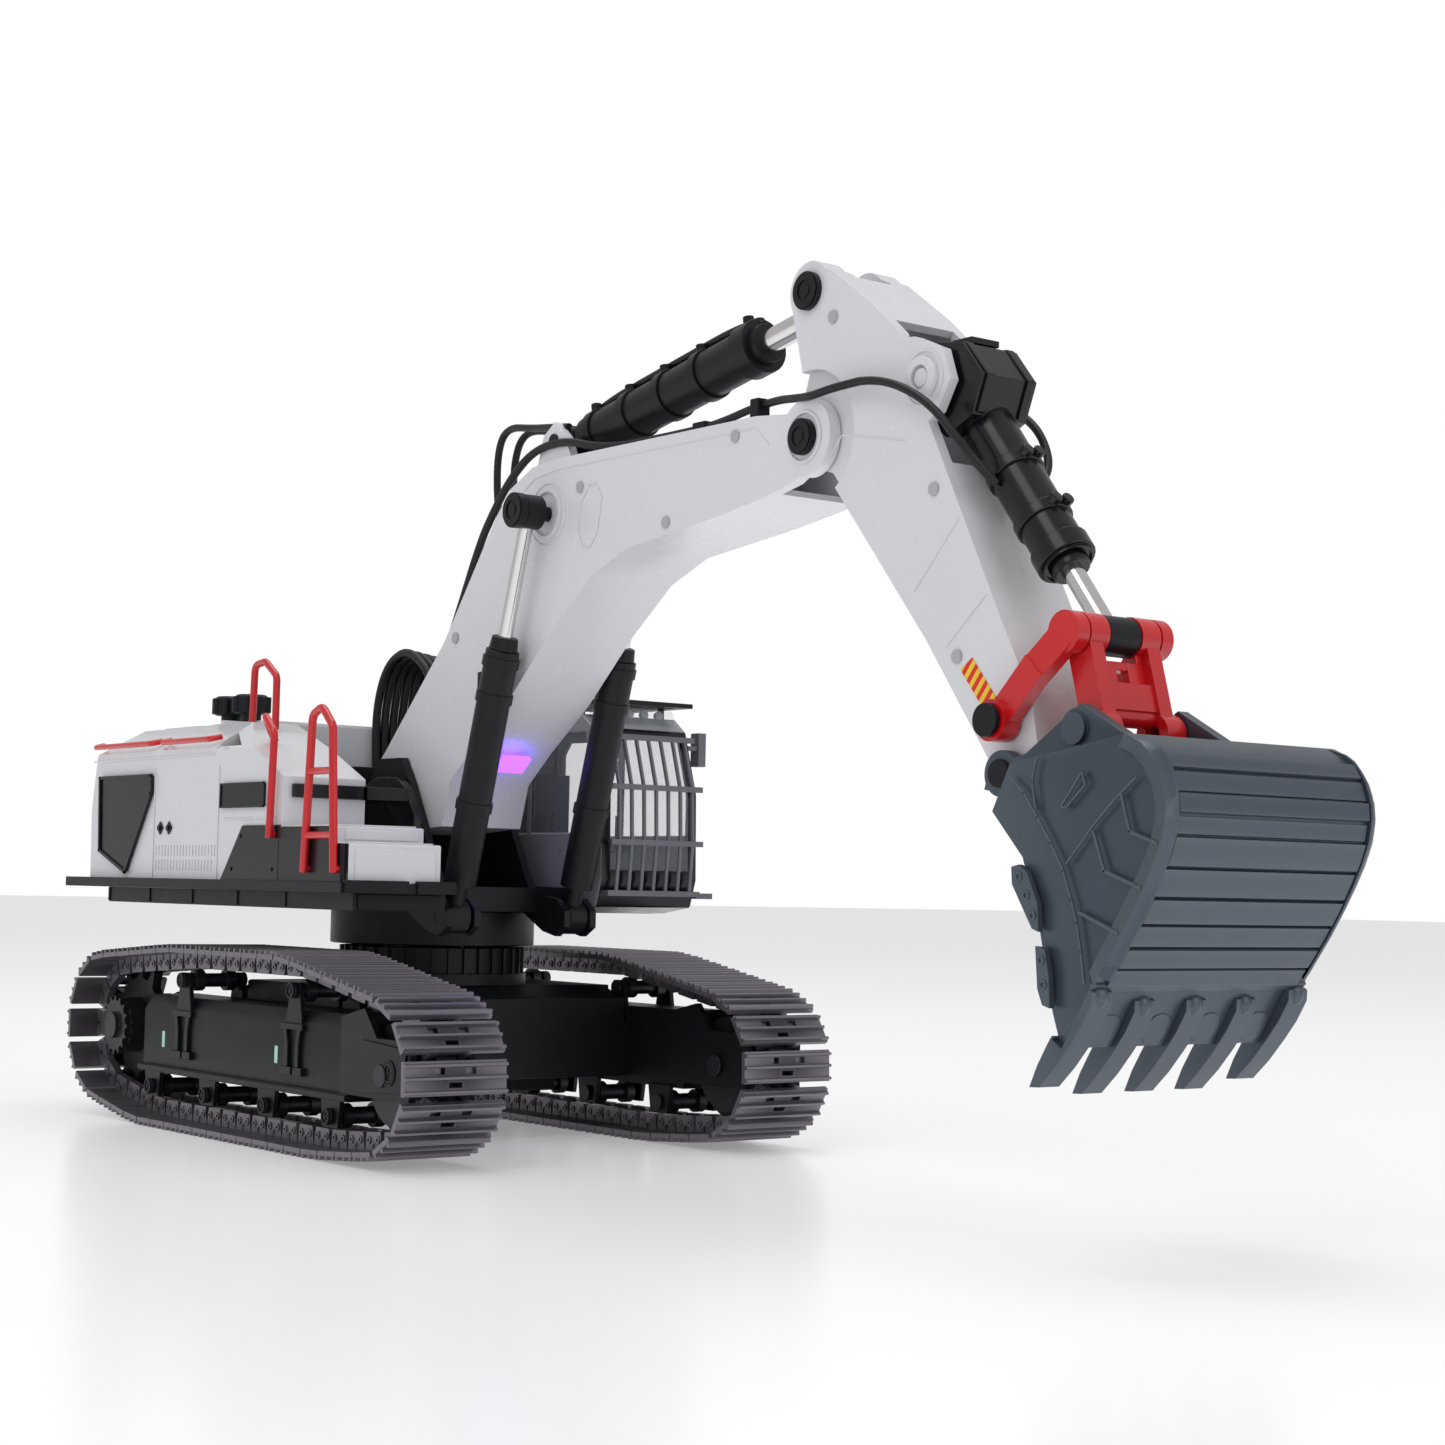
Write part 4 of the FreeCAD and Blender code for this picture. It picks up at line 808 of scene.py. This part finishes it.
def screw_heads(name, body, places, y, r=2.4):
    """Cross-slotted screw heads on both sides, at a distance y from the middle."""
    bm = bmesh.new()
    for x, z in places:
        ring(bm, (x, -y, z), (0, -1, 0), r * 0.7, r, 0.75, sides=20)
        turned(bm, (x, -y, z), (0, -1, 0), r * 0.72, 0.4, sides=20)
        block(bm, x - r * 0.5, x + r * 0.5, -y - 0.6, -y, z - 0.3, z + 0.3)
        block(bm, x - 0.3, x + 0.3, -y - 0.6, -y, z - r * 0.5, z + r * 0.5)
    mirrored(bm, bm.verts[:])
    return store(bm, name, body, "screw grey", "pin_black", edge=0.08)


def black_caps(name, body, places):
    """Domed black caps over pin ends, each (x, z, y, r, length)."""
    bm = bmesh.new()
    for x, z, y, r, length in places:
        turned(bm, (x, -y, z), (0, -1, 0), r, length, sides=32)
        ring(bm, (x, -y - length, z), (0, -1, 0), r * 0.55, r * 0.92, 0.5)
        turned(bm, (x, -y - length, z), (0, -1, 0), r * 0.4, 0.3, sides=6)
    mirrored(bm, bm.verts[:])
    return store(bm, name, body, "black satin", "pin_black", edge=0.35)


LIFT_ALONG = (0.287, 0.958)
COLLAR = 3.9


def lift_glands():
    """Stepped collars where the lift rods leave their barrels, and a port block low on each."""
    bm = bmesh.new()
    x, z = toward(LIFT_BASE, LIFT_TOP, 110)
    axis = (LIFT_TOP[0] - LIFT_BASE[0], 0, LIFT_TOP[1] - LIFT_BASE[1])
    turned(bm, (x, -LIFT_Y, z), axis, 7.0, 4.0)
    turned(bm, (x + LIFT_ALONG[0] * COLLAR, -LIFT_Y, z + LIFT_ALONG[1] * COLLAR), axis, 6.0, 5.6, end_r=5.4)
    near = toward(LIFT_BASE, LIFT_TOP, 96)
    block(bm, near[0] - 10.2, near[0] - 6.2, -LIFT_Y - 2.5, -LIFT_Y + 2.5, near[1] + 2, near[1] + 9)
    mirrored(bm, bm.verts[:])
    return store(bm, "lift_glands", "boom_barrels", *BLACK, edge=0.5)


def clamp(bm, base, top, distance, r, length):
    """A clamp band round a barrel with two round lugs on its upper side."""
    x, z = toward(base, top, distance)
    axis = Vector((top[0] - base[0], 0, top[1] - base[1])).normalized()
    turned(bm, (x, 0, z), axis, r, length)
    up = Vector((-axis.z, 0, axis.x))
    foot = Vector((x, 0, z)) + axis * length / 2
    for y in (2.6, -2.6):
        turned(bm, foot + Vector((0, y, 0)) - up * 0.2, up, 2.2, r + 2.0, sides=12)


def arm_cylinder_fittings():
    """Clamp bands and the gland on the arm cylinder."""
    bm = bmesh.new()
    for distance in (14, 38, 62, 86):
        clamp(bm, STICK_BASE, STICK_TOP, distance, 10.3, 5.0)
    clamp(bm, STICK_BASE, STICK_TOP, 114, 10.8, 9.0)
    x, z = toward(STICK_BASE, STICK_TOP, 122)
    axis = (STICK_TOP[0] - STICK_BASE[0], 0, STICK_TOP[1] - STICK_BASE[1])
    turned(bm, (x, 0, z), axis, 8.2, 4.5, end_r=7.6)
    return store(bm, "arm_cylinder_fittings", "arm_barrel", *BLACK, edge=0.35)


def curl_cylinder_fittings():
    """Clamp bands, the gland, and the drive box's side ribs and top plate."""
    bm = bmesh.new()
    for distance in (40, 62):
        clamp(bm, CURL_BASE, JUNCTION, distance, 10.0, 4.5)
    x, z = toward(CURL_BASE, JUNCTION, 76)
    axis = (JUNCTION[0] - CURL_BASE[0], 0, JUNCTION[1] - CURL_BASE[1])
    turned(bm, (x, 0, z), axis, 10.2, 7.0)
    x, z = toward(CURL_BASE, JUNCTION, 82)
    turned(bm, (x, 0, z), axis, 7.0, 5.0, end_r=6.4)
    rib = [(334, 295.4), (352.4, 293.4), (363.2, 281), (358.4, 268.6), (353, 269), (357, 280), (348, 289),
           (334, 291)]
    for y in (-11.0, 7.6):
        slab(bm, rib, y, y + 3.4)
    block(bm, 340, 350, -6.5, 6.5, 294.0, 296.4)
    return store(bm, "curl_cylinder_fittings", "bucket_barrel", *GLOSS, edge=0.5)


def arm_trim():
    """Bosses and panel seams on both of the arm's sides."""
    bm = bmesh.new()
    pin_rings(bm, *CURL_BASE, -ARM_HALF, ((4.2, 7.2, 2.4), (9.0, 9.8, 0.5)))
    turned(bm, (CURL_BASE[0], -ARM_HALF, CURL_BASE[1]), (0, -1, 0), 3.2, 1.6)
    for line in ([(291, 262), (297, 268), (330, 262)], [(336, 210), (357, 232)], [(352, 190), (371, 206)]):
        seam(bm, line, 0.45, -ARM_HALF - 0.3, -ARM_HALF)
    mirrored(bm, bm.verts[:])
    return store(bm, "arm_trim", "arm", *WHITE, edge=0.15)


def arm_tape():
    """A slanting patch of striped tape low on each side of the arm."""
    bm = bmesh.new()
    patch = [(364.8, 185.7), (377.4, 170.7), (370.7, 168.2), (359.2, 182.1)]
    slab(bm, patch, -ARM_HALF - 0.25, -ARM_HALF - 0.02)
    mirrored(bm, bm.verts[:])
    return store(bm, "arm_tape", "arm", "warning tape", "white_plastic")


def violet_lamps():
    """The violet lamp bar low on the boom."""
    bm = bmesh.new()
    bar = block(bm, 57.0, 66.0, -7.0, 7.0, 158.6, 161.0)
    tilt = Matrix.Rotation(math.radians(-40), 3, "Y")
    bmesh.ops.rotate(bm, verts=bar, cent=(61.5, 0, 160), matrix=tilt)
    return store(bm, "violet_lamps", "boom", "violet lamp", "clear_plastic", edge=0.4)


def link_web():
    """The web between the bucket link's legs, with a long slot through it."""
    bm = bmesh.new()
    for side in (-1, 1):
        inner, outer = sorted((side * 2.6, side * 10.4))
        block(bm, 9.0, 27.0, inner, outer, -1.8, 1.8)
        inner, outer = sorted((side * 7.2, side * 10.4))
        block(bm, 5.0, 9.4, inner, outer, -1.8, 1.8)
    block(bm, 9.0, 12.0, -2.8, 2.8, -1.8, 1.8)
    block(bm, 24.0, 27.0, -2.8, 2.8, -1.8, 1.8)
    turned(bm, (27.0, -10.4, 0), (0, 1, 0), 3.4, 20.8)
    fall = math.atan2(JUNCTION[1] - BUCKET_EAR[1], BUCKET_EAR[0] - JUNCTION[0])
    place = Matrix.Translation((JUNCTION[0], 0, JUNCTION[1])) @ Matrix.Rotation(fall, 4, "Y")
    bmesh.ops.transform(bm, matrix=place, verts=bm.verts[:])
    body = frame["nodes"]["bucket_link"]["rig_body"]
    return store(bm, "bucket_link_web", body, *RED, edge=0.5)


# Screws as (x, z), on both sides
BOOM_SCREWS = ((137.6, 267.8), (238.4, 275.1), (196.2, 247.5), (45.7, 213.4), (10.7, 158.0))
ARM_SCREWS = ((291, 311), (345, 243.5), (357.5, 186.5))


def close_to(x, z, places, reach):
    """Whether a point in X and Z is close to one of the places."""
    return min(math.dist((x, z), place) for place in places) < reach


def front_works():
    """The boom, the arm, their cylinders and linkage."""
    for node in ("boom_shell_left", "boom_shell_right"):
        dress(node, *WHITE, 1.6)
    for node in ("arm_shell_left", "arm_shell_right"):
        dress(node, *WHITE, 1.2)
    for node, screws in (("boom_pins", BOOM_SCREWS), ("arm_pins", ARM_SCREWS)):
        pins = dress(node, "black satin", "pin_black", 0.3)
        tint_faces(pins, "screw grey", lambda x, y, z, n, at=screws: close_to(x, z, at, 3.4))
    dress("boom_cylinders", *BLACK, 0.4)
    lift_rods = dress("boom_rods", *CHROME, 0.3)
    tint_faces(lift_rods, "black satin", lambda x, y, z, n: close_to(x, z, [LIFT_TOP], 12))
    dress("arm_cylinder", *BLACK, 0.4)
    dress("arm_rod", *CHROME, 0.3)
    dress("bucket_cylinder", *GLOSS, 0.5)
    curl_rod = dress("bucket_rod", *CHROME, 0.3)
    tint_faces(curl_rod, "black satin", lambda x, y, z, n: close_to(x, z, [JUNCTION], 11))
    dress("rocker_links", *RED, 0.8)
    dress("bucket_link", *RED, 0.8)
    link_web()
    boom_trim()
    arm_trim()
    arm_tape()
    violet_lamps()
    screw_heads("boom_screws", "boom", BOOM_SCREWS, BOOM_HALF)
    screw_heads("arm_screws", "arm", ARM_SCREWS, ARM_HALF)
    black_caps("boom_caps", "boom", ((*LIFT_TOP, 33.8, 7.2, 3.4), (*ARM_PIVOT, 20.0, 6.6, 2.6)))
    black_caps("arm_caps", "arm", ((*STICK_TOP, ARM_HALF, 7.0, 2.2), (*ROCKER_FOOT, 26.4, 4.6, 1.6)))
    lift_glands()
    arm_cylinder_fittings()
    curl_cylinder_fittings()
    boom_and_arm_hoses()
    hose_clips()
    arm_cylinder_pipe()


def boom_and_arm_hoses():
    """Hoses over the boom's tip, down to the curl cylinder, along the boom's back and behind its crown."""
    for i, s in enumerate((-1, 1)):
        number = str(i + 1)
        over = hose("boom_hose_" + number, None,
                    [(206, s * 12, 283), (223, s * 14, 283.4), (241, s * 14.6, 285.8), (258, s * 15.6, 286.4),
                     (270, s * 18.5, 284.8), (284, s * 22.4, 283), (298, s * 23, 284.2),
                     (311, s * 22.6, 284.4)], 1.5, stands_for=("boom_hoses",) if i == 0 else ())
        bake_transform(over)
        curl = hose("arm_hose_" + number, None,
                    [(311, s * 22.6, 284.4), (322, s * 23.5, 283.4), (338, s * 24, 277.5),
                     (351, s * 23.5, 269), (359.5, s * 21, 258), (364, s * 16, 249.5), (366, s * 9.5, 244)], 1.5,
                    stands_for=("arm_hoses",) if i == 0 else ())
        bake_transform(curl)
        hose("boom_back_hose_" + number, "boom",
             [(24, s * 14, 201), (40, s * 15, 226), (57, s * 16, 254), (67, s * 16, 266), (80, s * 16, 279),
              (96, s * 15, 289), (118, s * 14, 290), (137, s * 12.5, 285), (161, s * 11, 283),
              (206, s * 12, 283)], 1.7)
        hose("boom_rear_loop_" + number, "boom",
             [(66, s * 5, 252), (56, s * 4.5, 260), (50, s * 4, 274), (50.5, s * 4.5, 296),
              (59, s * 5, 304.5), (80, s * 6, 301), (101, s * 8, 298.5), (112, s * 9, 297)], 1.6)


def hose_clips():
    """Two pairs of clips that hold the hoses to the boom's back."""
    bm = bmesh.new()
    for s in (-1, 1):
        y0, y1 = sorted((s * 12.4, s * 18.2))
        block(bm, 244, 249, y0, y1, 279, 288.4)
        y0, y1 = sorted((s * 9.2, s * 14.6))
        block(bm, 204, 212, y0, y1, 280, 285.4)
    store(bm, "hose_clips", "boom", *BLACK, edge=0.5)


PIPE_RISE = 12.0


def arm_cylinder_pipe():
    """The pipe along the upper side of the arm cylinder."""
    x0, z0 = toward(STICK_BASE, STICK_TOP, 8)
    x1, z1 = toward(STICK_BASE, STICK_TOP, 124)
    dx = -0.1835 * PIPE_RISE
    dz = 0.983 * PIPE_RISE
    hose("arm_cylinder_pipe", "arm_barrel",
         [(x0 + dx, 0, z0 + dz - 4), (x0 + dx + 6, 0, z0 + dz + 1),
          ((x0 + x1) / 2 + dx, 0, (z0 + z1) / 2 + dz), (x1 + dx - 6, 0, z1 + dz - 1), (x1 + dx, 0, z1 + dz - 4)], 1.5)


# ---- bucket

BUCKET_BACK = [(460, 156), (466, 153.2), (470.6, 149), (473.8, 144), (475.6, 138.6), (476, 133), (475, 127),
               (472.6, 120.6), (469, 113.6), (464.6, 106), (459.6, 98.2), (453.9, 90.2), (448.4, 82.6)]
BUCKET_MIDDLE = (434.0, 118.0)
RIM_RISE = 2.0
RIM_IN = 4.2
LIP_OUT = (0.858, 0, -0.513)
# Each tooth's Y and how far it is set back from the middle ones
TEETH = ((-43.6, 2.8), (-22.6, 0.0), (0.0, 0.0), (22.6, 0.0), (43.6, 2.8))
BAND_EDGES = (0.13, 0.20, 0.28, 0.35, 0.42, 0.53, 0.64, 0.74, 0.83, 0.915, 0.995)
LOW_BANDS = (1, 3)
RIM_STEPS = 24


def along_back(share, rise):
    """A point a share of the way down the bucket's back, moved out from the bucket's middle."""
    lengths = [math.dist(a, b) for a, b in zip(BUCKET_BACK, BUCKET_BACK[1:])]
    left = share * sum(lengths)
    for a, b, length in zip(BUCKET_BACK, BUCKET_BACK[1:], lengths):
        if left <= length:
            break
        left -= length
    return toward(toward(a, b, left), BUCKET_MIDDLE, -rise)


def bucket_slats():
    """The back's bands between its two side rims, a few of them lower than their neighbours."""
    bm = bmesh.new()
    half = BUCKET_HALF - RIM_IN
    for i, (a, b) in enumerate(zip(BAND_EDGES, BAND_EDGES[1:])):
        rise = RIM_RISE - (1.1 if i in LOW_BANDS else 0.35 + 0.2 * (i % 2))
        steps = [a + 0.006 + (b - a - 0.012) * k / 4 for k in range(5)]
        slab(bm, [along_back(t, rise) for t in steps] + [along_back(t, -1.0) for t in reversed(steps)],
             -half + 0.5, half - 0.5)
    return store(bm, "bucket_slats", "bucket", *PAINT, edge=0.22)


def bucket_rims():
    """A rim down each side of the back, sloping out from the side plate to the slats."""
    bm = bmesh.new()
    for s in (-1, 1):
        rows = []
        for step in range(RIM_STEPS + 1):
            share = step / RIM_STEPS
            rise = RIM_RISE * min(1.0, share / 0.12)
            inner = BUCKET_HALF - RIM_IN
            corners = ((along_back(share, 0.0), BUCKET_HALF), (along_back(share, rise), inner + 0.9),
                       (along_back(share, rise), inner), (along_back(share, -1.0), inner))
            rows.append([bm.verts.new((x, s * y, z)) for (x, z), y in corners])
        for before, after in zip(rows, rows[1:]):
            for k in range(4):
                bm.faces.new((before[k], before[(k + 1) % 4], after[(k + 1) % 4], after[k]))
        bm.faces.new(rows[0])
        bm.faces.new(rows[-1])
    return store(bm, "bucket_rims", "bucket", *PAINT, edge=0.2, soft_below=30)


def bucket_side_lines():
    """The side plates' panel edge, chevrons and diamond, drawn as raised lines."""
    bm = bmesh.new()
    low, high = -BUCKET_HALF - 0.5, -BUCKET_HALF + 0.2
    lines = ((0.9, [(413.2, 144), (419.2, 139.3), (425, 131.9), (430.8, 124.2), (436, 116), (439.5, 107.6),
                    (441.8, 100.7), (443.6, 92.4), (445, 83.6)]),
             (0.7, [(464.6, 142.9), (457.4, 137.5), (448.7, 129.9), (437.6, 118.4)]),
             (1.0, [(459.1, 138.2), (462.5, 127.4), (472.6, 124.2)]),
             (1.0, [(448.2, 127.4), (452.7, 116), (466.4, 111.4)]),
             (1.0, [(443.1, 103.7), (457.8, 98.3)]),
             (0.7, [(443.3, 145.1), (444.7, 141.3), (437.1, 134.8), (434.9, 135), (443.3, 145.1)]),
             (0.8, [(424.2, 149.4), (422.6, 143), (424.4, 134.2)]))
    for width, points in lines:
        seam(bm, points, width, low, high)
    mirrored(bm, bm.verts[:])
    return store(bm, "bucket_side_lines", "bucket", *PAINT, edge=0.2)


def bucket_side_cutters():
    """Two bolted pads on the front edge of each side plate."""
    bm = bmesh.new()
    low, high = -BUCKET_HALF - 1.8, -BUCKET_HALF + 0.4
    slab(bm, [(415.6, 117.1), (418.8, 117.8), (422.2, 115.4), (426.9, 106.4), (427.5, 97.7), (424.7, 98.6),
              (420.6, 104.8), (416, 111.8)], low, high)
    lower = [(426.2, 93.6), (430.2, 92.8), (432, 85), (432.5, 75.3), (429.4, 76.1), (427.3, 80.8)]
    slab(bm, lower, low, high)
    for x, z in ((419, 114.2), (422.2, 108.6), (425, 102.6), (428.8, 89.4), (429.8, 82.2)):
        ring(bm, (x, low, z), (0, -1, 0), 0.7, 1.5, 0.5, sides=14)
    mirrored(bm, bm.verts[:])
    return store(bm, "bucket_side_cutters", "bucket", *PAINT, edge=0.35)


def bucket_lip_pads():
    """Round pads on the lip between the teeth, the lip's upper step and a bump at each tooth's root."""
    bm = bmesh.new()
    for y in (-33.0, -11.0, 11.0, 33.0):
        turned(bm, (439.2, y, 69.6), LIP_OUT, 5.6, 1.3, sides=36)
    slab(bm, [(448.9, 84.2), (449.6, 82.6), (447.4, 80.6), (446.6, 82.4)], -BUCKET_HALF, BUCKET_HALF)
    for y, set_back in TEETH:
        bump_at = Vector((444.6 + set_back, y, 76.6 + set_back))
        made = bmesh.ops.create_uvsphere(bm, u_segments=16, v_segments=10, radius=2.9)["verts"]
        bmesh.ops.scale(bm, verts=made, vec=(1.0, 1.15, 1.25))
        bmesh.ops.translate(bm, verts=made, vec=bump_at)
    return store(bm, "bucket_lip_pads", "bucket", *PAINT, edge=0.3)


def bucket_works():
    """The bucket with its teeth and everything raised on it."""
    dress("bucket", *PAINT, 0.7, soft_below=33)
    dress("bucket_teeth", *PAINT, 1.1)
    bucket_slats()
    bucket_rims()
    bucket_side_lines()
    bucket_side_cutters()
    bucket_lip_pads()


# ---- studio

FLOOR_GLOW = 0.24
WORLD_LIGHT = 0.55
WORLD_SEEN = 1.0
LIGHT_AIM = Vector((0.1, 0, 0.15))
# Each light's name, place and size in metres, and power in watts
LIGHTS = (("key", (0.7, -1.5, 1.9), 1.3, 9.0), ("fill", (2.1, 0.5, 1.0), 1.4, 6.0),
          ("top", (-0.2, 0.2, 2.2), 1.6, 14.0))


def studio_floor():
    """A wide white floor that glows a little."""
    bm = bmesh.new()
    bmesh.ops.create_grid(bm, x_segments=1, y_segments=1, size=12.0)
    mesh = bpy.data.meshes.new("floor")
    bm.to_mesh(mesh)
    bm.free()
    floor = placed("floor", mesh)
    sheen = tinted("studio floor", 0.6, (0.90, 0.90, 0.91), (0.92, 0.92, 0.93))
    sheen.inputs["Roughness"].default_value = 0.22
    sheen.inputs["Emission Color"].default_value = (1.0, 1.0, 1.0, 1.0)
    sheen.inputs["Emission Strength"].default_value = FLOOR_GLOW
    mesh.materials.append(materials["studio floor"])


def studio_world():
    """A white world, brighter where the camera sees it than where it lights the model."""
    world = bpy.data.worlds.new("studio")
    world.use_nodes = True
    tree = world.node_tree
    background = tree.nodes["Background"]
    background.inputs["Color"].default_value = (1.0, 1.0, 1.0, 1.0)
    path = tree.nodes.new("ShaderNodeLightPath")
    level = tree.nodes.new("ShaderNodeMapRange")
    level.inputs["To Min"].default_value = WORLD_LIGHT
    level.inputs["To Max"].default_value = WORLD_SEEN
    tree.links.new(path.outputs["Is Camera Ray"], level.inputs["Value"])
    tree.links.new(level.outputs["Result"], background.inputs["Strength"])
    bpy.context.scene.world = world


def studio_lights():
    """Three round lights aimed at the model."""
    for name, place, size, energy in LIGHTS:
        data = bpy.data.lights.new(name, "AREA")
        data.shape = "DISK"
        data.size = size
        data.energy = energy
        lamp = bpy.data.objects.new(name, data)
        lamp.location = place
        lamp.rotation_euler = (LIGHT_AIM - Vector(place)).to_track_quat("-Z", "Y").to_euler()
        bpy.context.scene.collection.objects.link(lamp)


# The camera's place in metres, its heading, pitch and roll in degrees, and its focal length,
# which is measured against the picture's width
EYE = (0.96461, -0.58089, 0.10850)
EYE_TURNS = (52.489, 3.794, 1.164)
FOCAL = 2515.37
PICTURE_WIDTH = 1445
SENSOR = 36.0


def camera():
    """The camera stands ahead and to the right, low down, looking slightly up with a small roll."""
    heading, pitch, roll = (math.radians(angle) for angle in EYE_TURNS)
    flat = math.cos(pitch)
    forward = Vector((-math.sin(heading) * flat, math.cos(heading) * flat, math.sin(pitch)))
    level = Vector((math.cos(heading), math.sin(heading), 0))
    above = level.cross(forward)
    right = level * math.cos(roll) + above * math.sin(roll)
    up = above * math.cos(roll) - level * math.sin(roll)
    data = bpy.data.cameras.new("camera")
    data.sensor_width = SENSOR
    data.lens = SENSOR * FOCAL / PICTURE_WIDTH
    eye = bpy.data.objects.new("camera", data)
    turn = Matrix((right, up, -forward)).transposed().to_4x4()
    eye.matrix_world = Matrix.Translation(EYE) @ turn
    bpy.context.scene.collection.objects.link(eye)
    bpy.context.scene.camera = eye
    bpy.context.scene.view_settings.view_transform = "Standard"


make_finishes()
undercarriage()
upper_works()
front_works()
bucket_works()
studio_floor()
studio_world()
studio_lights()
camera()
